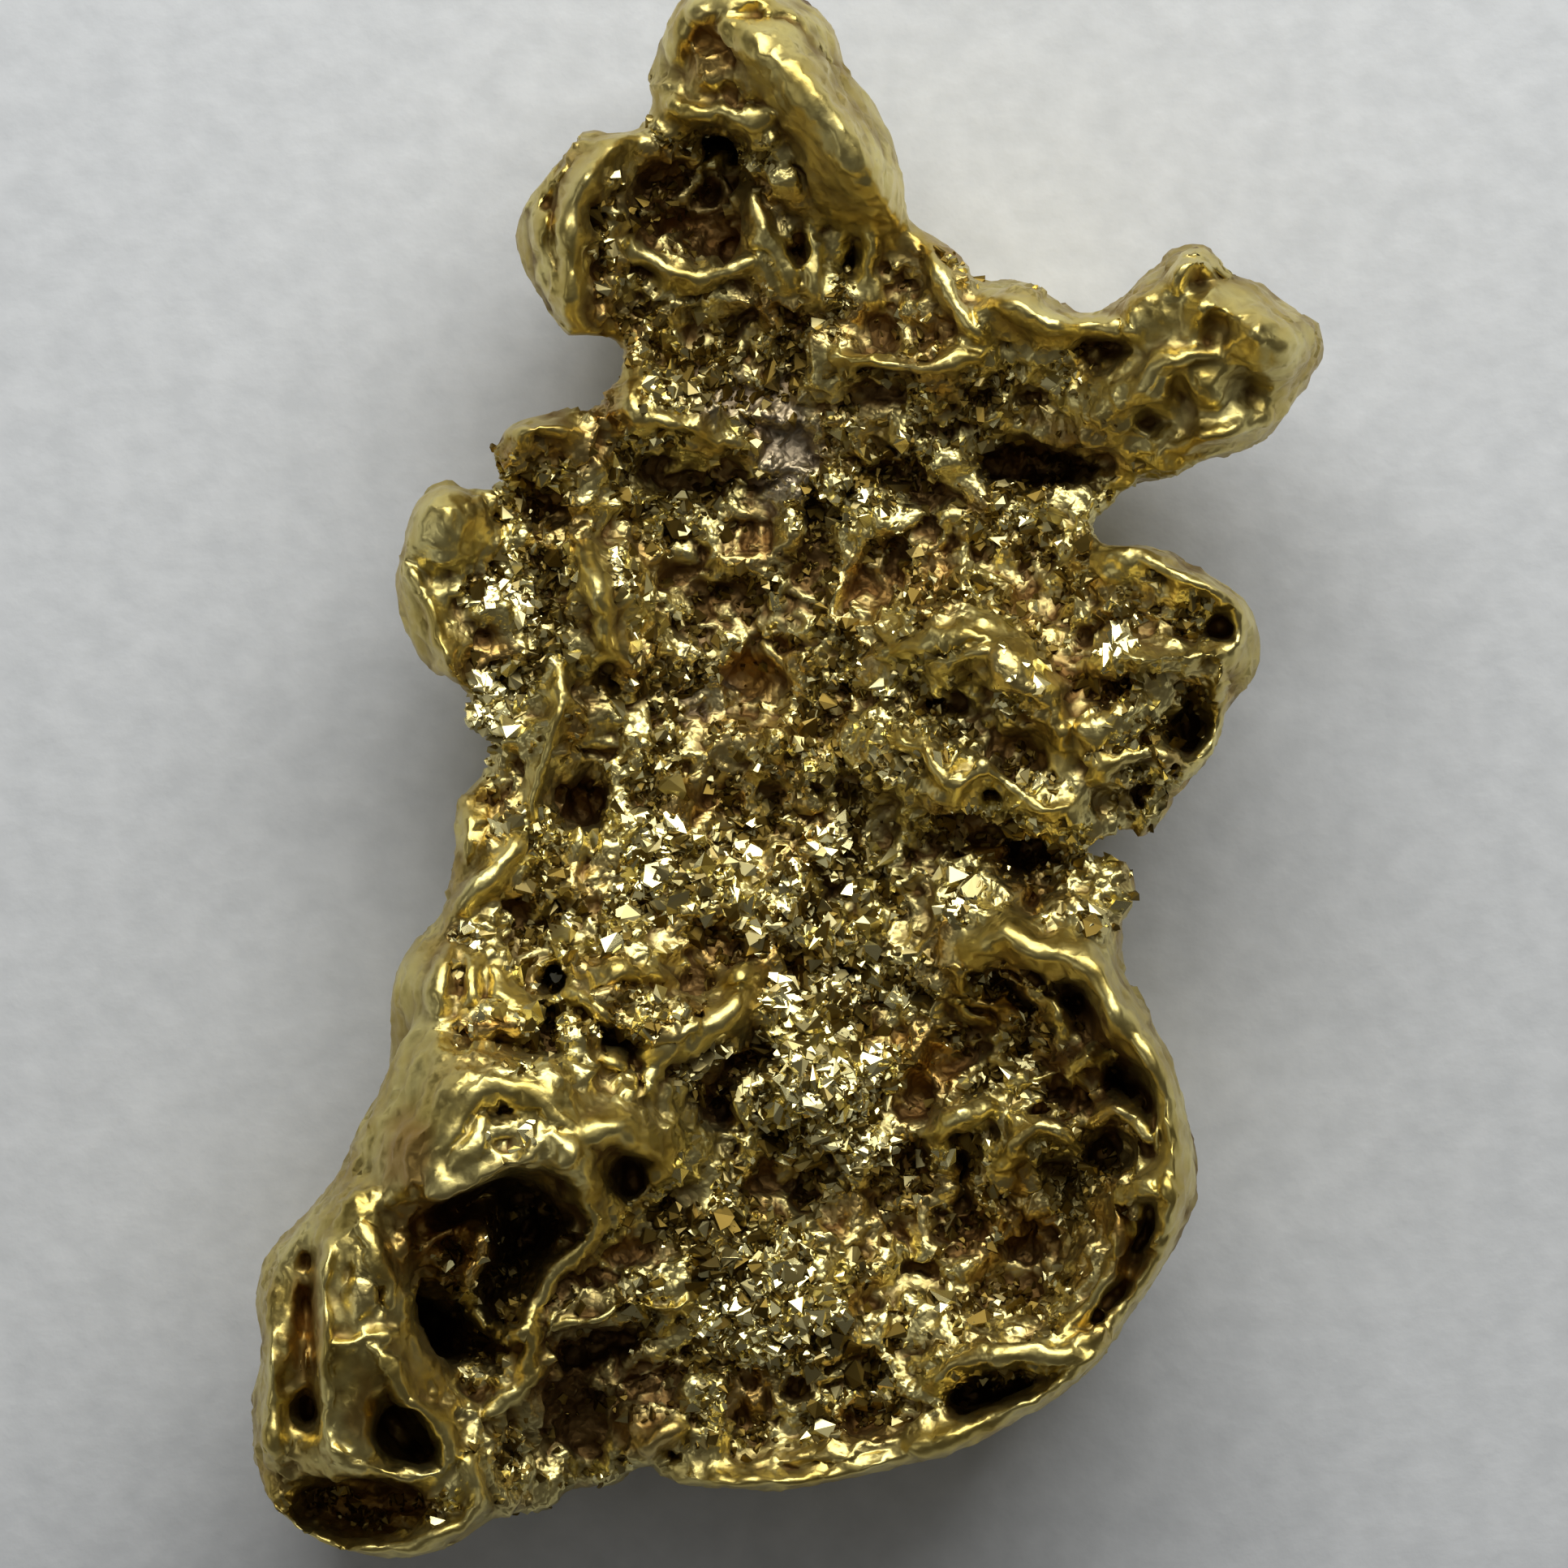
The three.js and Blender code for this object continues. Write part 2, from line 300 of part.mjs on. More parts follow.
// Round pits: x, y, height of the middle, and the half sizes along x, y and z
const PITS = [
  // crown and neck
  [-0.88, 7.94, 3.8, 0.34, 0.24, 1.3], [-1, 7.4, 3.2, 0.18, 0.22, 0.9],
  [-1.53, 7.11, 3.4, 0.46, 0.6, 0.8],
  [0.14, 6.59, 3.7, 0.13, 0.26, 0.5], [0.81, 6.49, 3.8, 0.13, 0.36, 0.6],
  [-1.01, 8.95, 4.8, 0.36, 0.42, 0.7],
  [-2.94, 6.66, 3.5, 0.1, 0.28, 0.5], [1.66, 6.18, 3.9, 0.2, 0.18, 0.4],
  [-0.41, 3.9, 3.1, 0.45, 0.14, 0.35],
  // arm
  [3.21, 4.65, 3.7, 0.36, 0.34, 0.5], [5.3, 6.23, 5.3, 0.14, 0.14, 0.3],
  [5.45, 5.61, 5.2, 0.24, 0.24, 0.3],
  [5.69, 4.86, 4.8, 0.3, 0.28, 0.3], [4.58, 4.52, 4.5, 0.22, 0.2, 0.35],
  // left side and basin
  [-3.26, 3.39, 3.6, 0.4, 0.36, 0.5], [-4.45, 2.99, 4.2, 0.1, 0.1, 0.3],
  [-2.28, 1.21, 3.3, 0.22, 0.22, 0.4],
  [-2.53, -0.34, 3.3, 0.28, 0.4, 0.5], [-3.73, 3.2, 3.6, 0.16, 0.2, 0.4],
  [-1.35, -0.07, 3.1, 0.22, 0.2, 0.3],
  [-0.5, 1.21, 3.0, 0.32, 0.28, 0.4], [-3.93, 1.96, 3.5, 0.16, 0.3, 0.35],
  [-3.42, -0.11, 3.5, 0.14, 0.3, 0.35],
  // right lobe and block
  [5.53, 1.78, 4.5, 0.24, 0.26, 0.5], [4.31, 1.07, 4.1, 0.3, 0.22, 0.6],
  [5.09, 0.63, 4.0, 0.34, 0.46, 0.7],
  [4.14, -0.4, 3.7, 0.18, 0.14, 0.4], [4.58, -0.3, 3.7, 0.18, 0.14, 0.4],
  [2.92, 0.86, 3.9, 0.3, 0.26, 0.6],
  [2.61, -0.3, 3.5, 0.28, 0.14, 0.5], [3.17, -1.02, 3.0, 0.3, 0.42, 0.7],
  [3.06, -1.73, 2.9, 0.2, 0.18, 0.5],
  [1.66, 0.92, 3.7, 0.26, 0.22, 0.4], [4.45, 1.96, 4.3, 0.24, 0.2, 0.3],
  // bowl
  [2.92, -2.78, 3.3, 0.42, 0.28, 1.3], [3.64, -2.83, 3.7, 0.26, 0.18, 0.6],
  [4.2, -4.15, 3.8, 0.4, 0.42, 0.8],
  [4.18, -4.86, 3.5, 0.3, 0.22, 0.6], [2.13, -5.08, 3.1, 0.18, 0.42, 0.5],
  [3.31, -5.08, 3.3, 0.3, 0.3, 0.5],
  [-1.45, -8.73, 3.6, 0.16, 0.16, 0.4],
  // lobe, its caves and the ring at the foot
  [-2.07, -5.12, 4.3, 0.36, 0.3, 0.9], [-3.57, -4.32, 5.9, 0.14, 0.14, 0.3],
  [-3.86, -4.96, 5.2, 0.16, 0.14, 0.4],
  [-3.62, -5.7, 4.4, 0.85, 0.5, 1.6], [-3, -5.93, 3.0, 0.42, 0.24, 1.3],
  [-4.33, -6.74, 3.6, 0.55, 0.85, 1.6],
  [-4.35, -7.15, 2.2, 0.46, 0.38, 1.0], [-4.92, -8.42, 4.3, 0.38, 0.42, 0.8],
  [-4.66, -8.73, 3.8, 0.26, 0.18, 0.7],
  [-5.38, -9.38, 4.1, 0.95, 0.4, 1.2], [-5.49, -6.45, 5.5, 0.14, 0.16, 0.3],
  [-3.62, -7.46, 4.2, 0.25, 0.28, 0.9],
  [-2.8, -2.83, 3.6, 0.3, 0.2, 0.3], [-2.07, -2.99, 4.1, 0.34, 0.2, 0.3],
];

// Slots and trenches: each point is x, y, height of its middle, half width
const SLOTS = [
  [[3.83, 5.46, 4.1, 0.15], [4.47, 5.43, 4.3, 0.15]],
  [[2.48, 3.9, 3.2, 0.26], [3.31, 3.82, 3.2, 0.3], [4.06, 4.03, 3.5, 0.22]],
  [[-4.55, -3.39, 3.7, 0.2], [-3.83, -3.45, 3.5, 0.24], [-2.9, -3.45, 3.5, 0.2]],
  [[-2.8, -7.28, 3.8, 0.16], [-1.76, -7.15, 3.7, 0.14]],
  [[-6.05, -6.12, 4.6, 0.14], [-6.13, -6.95, 4.6, 0.16], [-6.11, -8.14, 4.5, 0.2]],
  [
    [4.47, -5.64, 4.4, 0.17], [4.49, -6.08, 4.4, 0.18], [4.22, -6.57, 4.3, 0.18],
    [3.85, -7.13, 4.1, 0.16],
  ],
  [[2.28, -7.96, 3.6, 0.25], [2.8, -7.84, 3.7, 0.24], [3.42, -7.67, 3.9, 0.2]],
];

// Hollows of the under face, which nothing in the photographed face shows
const UNDER_PITS = [
  [-1.55, 5.48, 0.2, 0.6, 0.5, 0.6], [3.62, 2.99, 0.4, 0.6, 0.5, 0.6], [1.66, 4.96, 0.4, 0.4, 0.4, 0.5],
  [-3.42, 1.96, 0.4, 0.5, 0.6, 0.6], [-0.93, 0.4, 0.0, 0.5, 0.3, 0.5],
  [1.35, -0.11, 0.0, 0.4, 0.5, 0.5],
  [-1.35, -3.22, 0.0, 0.6, 0.4, 0.6], [3.83, -2.39, 0.5, 0.4, 0.5, 0.6],
  [2.17, -5.7, 0.0, 0.5, 0.4, 0.5],
  [0.1, -7.67, 0.2, 0.6, 0.4, 0.6], [-2.8, -7.26, 0.0, 0.5, 0.4, 0.5],
  [-4.04, -2.39, 0.5, 0.4, 0.4, 0.5],
  [-5.9, -8.19, 0.6, 0.3, 0.5, 0.5], [-2.59, 6.51, 0.8, 0.3, 0.4, 0.4],
  [0.31, 7.55, 0.9, 0.3, 0.4, 0.5],
];

// Dents in the side wall, below its widest line
const SIDE_PITS = [
  [5.13, -5.08, 1.9, 0.3, 0.6, 0.4], [2.9, -8.24, 1.8, 0.6, 0.3, 0.4],
  [-1.04, -9.18, 2.0, 0.5, 0.25, 0.4],
  [-6.75, -8.19, 2.0, 0.3, 0.5, 0.5], [-5.07, -9.93, 1.8, 0.5, 0.3, 0.4],
  [-5.64, -5.08, 2.0, 0.35, 0.5, 0.5],
  [-4.12, -0.94, 1.8, 0.25, 0.5, 0.5], [1.49, 7.11, 2.5, 0.25, 0.4, 0.4],
  [-1.64, 8.89, 2.7, 0.25, 0.35, 0.35],
  [5.84, 1.54, 2.3, 0.3, 0.35, 0.4], [4.04, -5.7, 0.9, 0.4, 0.4, 0.4],
  [-2.8, -9.22, 1.6, 0.4, 0.3, 0.4],
];

// The small opening beside the leaf that goes right through
const OPENING = { from: [-2.96, -2.57], to: [-2.96, -2.78], radius: 0.15 };

// Shapes between the lists and the surface
const noise = new ImprovedNoise();

function smoothLeast(a, b, blend) {
  const overlap = Math.max(blend - Math.abs(a - b), 0) / blend;
  return Math.min(a, b) - overlap * overlap * blend / 4;
}

function smoothMost(a, b, blend) {
  return -smoothLeast(-a, -b, blend);
}

function roundedRim() {
  const points = RIM.map(([x, y]) => new THREE.Vector3(x, y, 0));
  const curve = new THREE.CatmullRomCurve3(points, true, 'centripetal');
  return curve.getPoints(RIM.length * 3).slice(0, -1);
}

function segmentDistance(x, y, from, to) {
  const along = [to.x - from.x, to.y - from.y];
  const away = [x - from.x, y - from.y];
  const share = (away[0] * along[0] + away[1] * along[1]) / (along[0] ** 2 + along[1] ** 2);
  const reach = Math.min(Math.max(share, 0), 1);
  return Math.hypot(away[0] - along[0] * reach, away[1] - along[1] * reach);
}

// Distance to the rim in plan, below zero inside it
function rimDistance(x, y, rim) {
  let nearest = Infinity;
  let inside = false;
  rim.forEach((to, i) => {
    const from = rim.at(i - 1);
    nearest = Math.min(nearest, segmentDistance(x, y, from, to));
    const crosses = (from.y > y) !== (to.y > y);
    if (crosses && x < from.x + (to.x - from.x) * (y - from.y) / (to.y - from.y)) {
      inside = !inside;
    }
  });
  return inside ? -nearest : nearest;
}

// Mean of the levels around a place, the near ones counting most
function levelAt(x, y, levels) {
  let total = 0;
  let weights = 1e-12;
  for (const [levelX, levelY, height, reach] of levels) {
    const weight = Math.exp(-((x - levelX) ** 2 + (y - levelY) ** 2) / reach ** 2);
    total += weight * height;
    weights += weight;
  }
  return total / weights;
}

// Pieces of a stroke, as pairs of neighbouring points
function pieces(stroke) {
  return stroke.slice(1).map((to, i) => [stroke[i], to]);
}

function strokeDistance(x, y, z, [from, to]) {
  const along = [to[0] - from[0], to[1] - from[1], to[2] - from[2]];
  const away = [x - from[0], y - from[1], z - from[2]];
  const length = along[0] ** 2 + along[1] ** 2 + along[2] ** 2;
  const share = (away[0] * along[0] + away[1] * along[1] + away[2] * along[2]) / length;
  const reach = Math.min(Math.max(share, 0), 1);
  const radius = from[3] + (to[3] - from[3]) * reach;
  return Math.hypot(
    away[0] - along[0] * reach, away[1] - along[1] * reach, away[2] - along[2] * reach,
  ) - radius;
}

// A ridge has flanks that widen on their way down into the body, or up for the under face
function ridgeDistance(x, y, z, [from, to], flank, up = 1) {
  const along = [to[0] - from[0], to[1] - from[1]];
  const away = [x - from[0], y - from[1]];
  const length = along[0] ** 2 + along[1] ** 2;
  const share = (away[0] * along[0] + away[1] * along[1]) / length;
  const reach = Math.min(Math.max(share, 0), 1);
  const height = (z - from[2] - (to[2] - from[2]) * reach) * up;
  const depth = Math.min(Math.max(-height, 0), flank.depth);
  const radius = from[3] + (to[3] - from[3]) * reach + RIDGE_SWELL + flank.slope * depth;
  const aside = Math.hypot(away[0] - along[0] * reach, away[1] - along[1] * reach);
  return Math.hypot(aside, Math.max(height, -height - flank.depth, 0)) - radius;
}

function pitDistance(x, y, z, [pitX, pitY, pitZ, halfX, halfY, halfZ]) {
  const size = Math.hypot((x - pitX) / halfX, (y - pitY) / halfY, (z - pitZ) / halfZ);
  return (size - 1) * Math.min(halfX, halfY, halfZ);
}

function nearStroke(x, y, [from, to]) {
  const margin = 1.6;
  return x > Math.min(from[0], to[0]) - margin && x < Math.max(from[0], to[0]) + margin
    && y > Math.min(from[1], to[1]) - margin && y < Math.max(from[1], to[1]) + margin;
}

function nearPit(x, y, [pitX, pitY, , halfX, halfY]) {
  return Math.abs(x - pitX) < halfX * 1.6 + 0.2 && Math.abs(y - pitY) < halfY * 1.6 + 0.2;
}

// All that one upright line through the nugget needs to know
function columnAt(x, y, rim) {
  return {
    x,
    y,
    rim: rimDistance(x, y, rim),
    upper: levelAt(x, y, UPPER_LEVELS),
    under: levelAt(x, y, UNDER_LEVELS),
    ridges: RIDGES.flatMap(pieces).filter((piece) => nearStroke(x, y, piece)),
    strands: STRANDS.flatMap(pieces).filter((piece) => nearStroke(x, y, piece)),
    underRidges: UNDER_RIDGES.flatMap(pieces).filter((piece) => nearStroke(x, y, piece)),
    slots: SLOTS.flatMap(pieces).filter((piece) => nearStroke(x, y, piece)),
    pits: [...PITS, ...UNDER_PITS, ...SIDE_PITS].filter((pit) => nearPit(x, y, pit)),
  };
}

// A slab between the two faces with its rim rounded over
function slabDistance(column, z) {
  const round = Math.min(EDGE_ROUND, 0.48 * (column.upper - column.under));
  const outward = column.rim + round;
  const upward = Math.max(z - column.upper, column.under - z) + round;
  const beyond = Math.hypot(Math.max(outward, 0), Math.max(upward, 0));
  return beyond + Math.min(Math.max(outward, upward), 0) - round;
}

function noiseAt({ x, y }, z, length) {
  return noise.noise(x / length, y / length, z / length);
}

function relief(column, z) {
  const grain = THREE.MathUtils.smoothstep(-column.rim, 0.4, SMOOTH_BORDER);
  const below = THREE.MathUtils.smoothstep(column.upper - z, 1, 2.5);
  return GRAIN.height * noiseAt(column, z, GRAIN.length) * grain
    + LUMPS.height * noiseAt(column, z, LUMPS.length) * below;
}

// The side wall is widest near its top and draws in below like a hull, with lumps
function sideDistance(column, z) {
  const widest = SIDE.widest + SIDE.wander * noiseAt(column, 0, 2 * LUMPS.length);
  const lean = z > widest
    ? SIDE.leanUp * (z - widest) ** 2
    : SIDE.leanDown * ((widest - z) / widest) ** 2;
  const lumps = SIDE.roughness * noiseAt(column, z, LUMPS.length);
  return column.rim + lean + Math.max(lumps, 0);
}

// Below zero inside the nugget
function field(column, z) {
  const { x, y } = column;
  let distance = slabDistance(column, z) + relief(column, z);
  for (const piece of column.ridges) {
    distance = smoothLeast(distance, ridgeDistance(x, y, z, piece, FLANK), RIDGE_BLEND);
  }
  for (const piece of column.underRidges) {
    distance = smoothLeast(distance, ridgeDistance(x, y, z, piece, FLANK, -1), RIDGE_BLEND);
  }
  distance = smoothMost(distance, sideDistance(column, z), RIM_BLEND);
  for (const pit of column.pits) {
    distance = smoothMost(distance, -pitDistance(x, y, z, pit), PIT_BLEND);
  }
  for (const piece of column.slots) {
    distance = smoothMost(distance, -strokeDistance(x, y, z, piece), PIT_BLEND);
  }
  for (const piece of column.strands) {
    distance = smoothLeast(distance, ridgeDistance(x, y, z, piece, STRAND_FLANK), RIDGE_BLEND);
  }
  const [from, to] = [OPENING.from, OPENING.to].map(([x, y]) => ({ x, y }));
  const opening = segmentDistance(x, y, from, to) - OPENING.radius;
  return smoothMost(distance, -opening, PIT_BLEND);
}

// Samples of the field on an even grid around the rim
function sampledField() {
  const rim = roundedRim();
  const box = new THREE.Box3().setFromPoints(rim).expandByScalar(0.5);
  const low = [box.min.x, box.min.y, -0.8];
  const high = [box.max.x, box.max.y, HEIGHT_MOST];
  const count = low.map((from, axis) => Math.ceil((high[axis] - from) / CELL) + 1);
  const values = new Float64Array(count[0] * count[1] * count[2]);
  for (let i = 0; i < count[0]; i++) {
    for (let j = 0; j < count[1]; j++) {
      const column = columnAt(low[0] + i * CELL, low[1] + j * CELL, rim);
      for (let k = 0; k < count[2]; k++) {
        values[i + count[0] * (j + count[1] * k)] = field(column, low[2] + k * CELL);
      }
    }
  }
  return { low, count, values };
}

// Corners and edges of a grid cell in the order that the shared tables use
const CORNERS = [
  [0, 0, 0], [1, 0, 0], [1, 1, 0], [0, 1, 0], [0, 0, 1], [1, 0, 1], [1, 1, 1], [0, 1, 1],
];
const EDGES = [
  [0, 1], [1, 2], [3, 2], [0, 3], [4, 5], [5, 6], [7, 6], [4, 7], [0, 4], [1, 5], [2, 6], [3, 7],
];

// Marching cubes over the samples: points, and triples of point numbers
function surfaceOf({ low, count, values }) {
  const points = [];
  const triangles = [];
  const known = new Map();
  const indexOf = (i, j, k) => i + count[0] * (j + count[1] * k);

  function pointOn(cell, edge) {
    const [from, to] = EDGES[edge].map((corner) => (
      cell.map((at, axis) => at + CORNERS[corner][axis])
    ));
    const [start, end] = [indexOf(...from), indexOf(...to)];
    const key = `${start} ${end}`;
    if (!known.has(key)) {
      const share = THREE.MathUtils.clamp(values[start] / (values[start] - values[end]), 0.06, 0.94);
      known.set(key, points.length);
      points.push(from.map((at, axis) => low[axis] + CELL * (at + (to[axis] - at) * share)));
    }
    return known.get(key);
  }

  for (let k = 0; k < count[2] - 1; k++) {
    for (let j = 0; j < count[1] - 1; j++) {
      for (let i = 0; i < count[0] - 1; i++) {
        let kind = 0;
        CORNERS.forEach(([di, dj, dk], corner) => {
          if (values[indexOf(i + di, j + dj, k + dk)] < 0) {
            kind |= 1 << corner;
          }
        });
        if (edgeTable[kind] === 0) {
          continue;
        }
        for (let n = kind * 16; triTable[n] !== -1; n += 3) {
          triangles.push([2, 1, 0].map((turn) => pointOn([i, j, k], triTable[n + turn])));
        }
      }
    }
  }
  return { points, triangles };
}

// The largest connected surface, so that closed bubbles and loose crumbs are left out
function largestShell({ points, triangles }) {
  const group = points.map((_, i) => i);
  const root = (i) => {
    while (group[i] !== i) {
      group[i] = group[group[i]];
      i = group[i];
    }
    return i;
  };
  for (const [a, b, c] of triangles) {
    group[root(a)] = root(b);
    group[root(b)] = root(c);
  }
  const sizes = new Map();
  for (const [a] of triangles) {
    sizes.set(root(a), (sizes.get(root(a)) ?? 0) + 1);
  }
  const [largest] = [...sizes].sort((a, b) => b[1] - a[1])[0];
  return { points, triangles: triangles.filter(([a]) => root(a) === largest) };
}

// Flat worn feet: everything below the table is cut away
function solidFrom(wasm, { points, triangles }) {
  const used = [...new Set(triangles.flat())];
  const places = new Map(used.map((point, i) => [point, i]));
  const mesh = new wasm.Mesh({
    numProp: 3,
    vertProperties: Float32Array.from(used.flatMap((point) => points[point])),
    triVerts: Uint32Array.from(triangles.flat().map((point) => places.get(point))),
  });
  return new wasm.Manifold(mesh);
}

function wornFlat(wasm, surface) {
  const depth = 4;
  const box = new THREE.BoxGeometry(40, 40, depth).translate(0, 0, -depth / 2);
  box.deleteAttribute('normal');
  box.deleteAttribute('uv');
  const merged = mergeVertices(box);
  const corners = Array.from({ length: merged.attributes.position.count }, (_, i) => (
    new THREE.Vector3().fromBufferAttribute(merged.attributes.position, i).toArray()
  ));
  const sides = [];
  for (let i = 0; i < merged.index.count; i += 3) {
    sides.push([0, 1, 2].map((turn) => merged.index.getX(i + turn)));
  }
  const table = solidFrom(wasm, { points: corners, triangles: sides });
  const cut = solidFrom(wasm, surface).subtract(table).getMesh();
  const points = [];
  for (let i = 0; i < cut.vertProperties.length; i += cut.numProp) {
    points.push([...cut.vertProperties.slice(i, i + 3)]);
  }
  const triangles = [];
  for (let i = 0; i < cut.triVerts.length; i += 3) {
    triangles.push([...cut.triVerts.slice(i, i + 3)]);
  }
  return { points, triangles };
}

// Sum of squared distances to planes, as the ten numbers of a symmetric matrix
function planeTerms([a, b, c], d, weight) {
  const terms = [a * a, a * b, a * c, a * d, b * b, b * c, b * d, c * c, c * d, d * d];
  return terms.map((value) => value * weight);
}

function planeError(q, [x, y, z]) {
  return q[0] * x * x + q[4] * y * y + q[7] * z * z + q[9]
    + 2 * (q[1] * x * y + q[2] * x * z + q[5] * y * z + q[3] * x + q[6] * y + q[8] * z);
}

function bestPlace(q, from, to) {
  const middle = from.map((v, axis) => (v + to[axis]) / 2);
  const matrix = new THREE.Matrix3().set(q[0], q[1], q[2], q[1], q[4], q[5], q[2], q[5], q[7]);
  const size = Math.max(q[0], q[4], q[7]);
  const choices = [middle, from, to];
  if (Math.abs(matrix.determinant()) > 1e-4 * size ** 3) {
    const place = new THREE.Vector3(-q[3], -q[6], -q[8]).applyMatrix3(matrix.invert()).toArray();
    const reach = Math.hypot(...from.map((v, axis) => v - to[axis]));
    if (Math.hypot(...place.map((v, axis) => v - middle[axis])) < reach) {
      choices.push(place);
    }
  }
  return choices
    .map((place) => ({ place, error: planeError(q, place) }))
    .sort((a, b) => a.error - b.error)[0];
}

function crossOf(a, b, c) {
  const u = b.map((v, axis) => v - a[axis]);
  const w = c.map((v, axis) => v - a[axis]);
  return [u[1] * w[2] - u[2] * w[1], u[2] * w[0] - u[0] * w[2], u[0] * w[1] - u[1] * w[0]];
}

// Fewer triangles: short edges over even ground close up first, creases and rims last
function simplified({ points, triangles }, wanted) {
  const flatWeight = 60;
  const places = points.map((point) => [...point]);
  const faces = triangles.map((corners) => [...corners]);
  const facesAt = points.map(() => new Set());
  const errors = points.map(() => new Array(10).fill(0));
  faces.forEach((corners, face) => {
    const cross = crossOf(...corners.map((corner) => places[corner]));
    const area = Math.hypot(...cross);
    const normal = cross.map((v) => v / (area || 1));
    const offset = -normal.reduce((sum, v, axis) => sum + v * places[corners[0]][axis], 0);
    const onTable = corners.every((corner) => Math.abs(places[corner][2]) < 1e-6);
    const terms = planeTerms(normal, offset, (onTable ? flatWeight : 1) * (area + 1e-6));
    for (const corner of corners) {
      facesAt[corner].add(face);
      terms.forEach((value, i) => {
        errors[corner][i] += value;
      });
    }
  });
  let left = faces.length;

  const aroundOf = (point) => {
    const around = new Set([...facesAt[point]].flatMap((face) => faces[face]));
    around.delete(point);
    return around;
  };

  function mayMove(point, other, place) {
    for (const face of facesAt[point]) {
      if (faces[face].includes(other)) {
        continue;
      }
      const before = crossOf(...faces[face].map((corner) => places[corner]));
      const moved = faces[face].map((corner) => (corner === point ? place : places[corner]));
      const after = crossOf(...moved);
      const sizes = Math.hypot(...before) * Math.hypot(...after);
      const agreement = before.reduce((sum, v, axis) => sum + v * after[axis], 0);
      const turns = Math.hypot(...before) > 1e-4 && agreement < 0.25 * sizes;
      if (turns || Math.hypot(...after) < 2e-4) {
        return false;
      }
    }
    return true;
  }

  function closeUp(from, to, place) {
    const shared = [...aroundOf(from)].filter((point) => aroundOf(to).has(point));
    if (shared.length !== 2 || !mayMove(from, to, place) || !mayMove(to, from, place)) {
      return false;
    }
    if (shared.some((point) => facesAt[point].size < 4)) {
      return false;
    }
    for (const face of [...facesAt[from]]) {
      if (faces[face].includes(to)) {
        faces[face].forEach((corner) => facesAt[corner].delete(face));
        faces[face] = null;
        left -= 1;
      } else {
        faces[face] = faces[face].map((corner) => (corner === from ? to : corner));
        facesAt[to].add(face);
      }
    }
    facesAt[from].clear();
    places[to] = place;
    errors[to] = errors[to].map((value, i) => value + errors[from][i]);
    return true;
  }

  while (left > wanted) {
    const edges = [];
    faces.forEach((corners) => {
      corners?.forEach((from, turn) => {
        const to = corners[(turn + 1) % 3];
        if (from < to) {
          const sum = errors[from].map((value, i) => value + errors[to][i]);
          edges.push({ from, to, ...bestPlace(sum, places[from], places[to]) });
        }
      });
    });
    edges.sort((a, b) => a.error - b.error);
    const share = Math.ceil(edges.length * 0.25);
    const moved = new Set();
    let closed = 0;
    for (const { from, to, place } of edges.slice(0, share)) {
      if (left <= wanted) {
        break;
      }
      if (moved.has(from) || moved.has(to)) {
        continue;
      }
      const touched = [from, to, ...aroundOf(from), ...aroundOf(to)];
      if (closeUp(from, to, place)) {
        touched.forEach((point) => moved.add(point));
        closed += 1;
      }
    }
    if (closed === 0) {
      break;
    }
  }
  places.forEach((place) => {
    place[2] = Math.abs(place[2]) < 0.012 ? 0 : place[2];
  });
  return { points: places, triangles: faces.filter(Boolean) };
}

// The nugget itself
function nuggetGeometry(wasm) {
  const grown = largestShell(surfaceOf(sampledField()));
  const worn = largestShell(wornFlat(wasm, grown));
  const { points, triangles } = simplified(worn, TRIANGLES_WANTED);
  const geometry = new THREE.BufferGeometry();
  geometry.setAttribute('position', new THREE.Float32BufferAttribute(points.flat(), 3));
  geometry.setIndex(triangles.flat());
  const corners = triangles.flat().map((point) => new THREE.Vector3(...points[point]));
  const middle = new THREE.Box3().setFromPoints(corners).getCenter(new THREE.Vector3());
  return geometry.translate(-middle.x, -middle.y, 0);
}

const wasm = await Module();
wasm.setup();

const gold = new THREE.MeshStandardMaterial({ color: 0xc9a23a, roughness: 0.35, metalness: 1 });

const nugget = new THREE.Mesh(nuggetGeometry(wasm), gold);
nugget.name = 'nugget';

const part = new THREE.Group();
part.add(nugget);

export default part;
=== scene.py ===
# %% [markdown]
# # A gold nugget, 20 mm long
# A nugget is gold that grew in the ground and was then rolled by a river. Its high places
# are hammered smooth and shiny, and its hollows keep the rough crystals it grew with.
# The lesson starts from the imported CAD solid, sculpts it finer in code and dresses it.
# All shape work is done in millimetres. The sizes are then plain numbers, and Blender's
# voxel remesher, which is meant for voxels above 0.0001 of its unit, can go finer than a
# tenth of a millimetre. The finished meshes are scaled back to metres.

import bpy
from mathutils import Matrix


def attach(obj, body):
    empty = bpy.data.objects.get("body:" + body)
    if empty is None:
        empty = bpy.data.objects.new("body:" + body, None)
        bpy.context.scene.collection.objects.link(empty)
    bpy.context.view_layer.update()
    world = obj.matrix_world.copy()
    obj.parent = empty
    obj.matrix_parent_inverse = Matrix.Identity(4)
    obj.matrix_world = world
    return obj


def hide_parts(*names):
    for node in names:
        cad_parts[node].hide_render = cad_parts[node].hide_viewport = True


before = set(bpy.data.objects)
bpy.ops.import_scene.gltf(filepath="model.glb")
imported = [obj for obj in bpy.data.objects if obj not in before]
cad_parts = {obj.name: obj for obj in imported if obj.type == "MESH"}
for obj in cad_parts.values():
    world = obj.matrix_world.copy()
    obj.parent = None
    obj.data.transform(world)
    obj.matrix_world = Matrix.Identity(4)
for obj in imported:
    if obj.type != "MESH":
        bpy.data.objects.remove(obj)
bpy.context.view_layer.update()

import bmesh
import bpy
import numpy as np
from mathutils import Matrix, Vector, noise

MM = 0.001
SEED = 20
rng = np.random.default_rng(SEED)
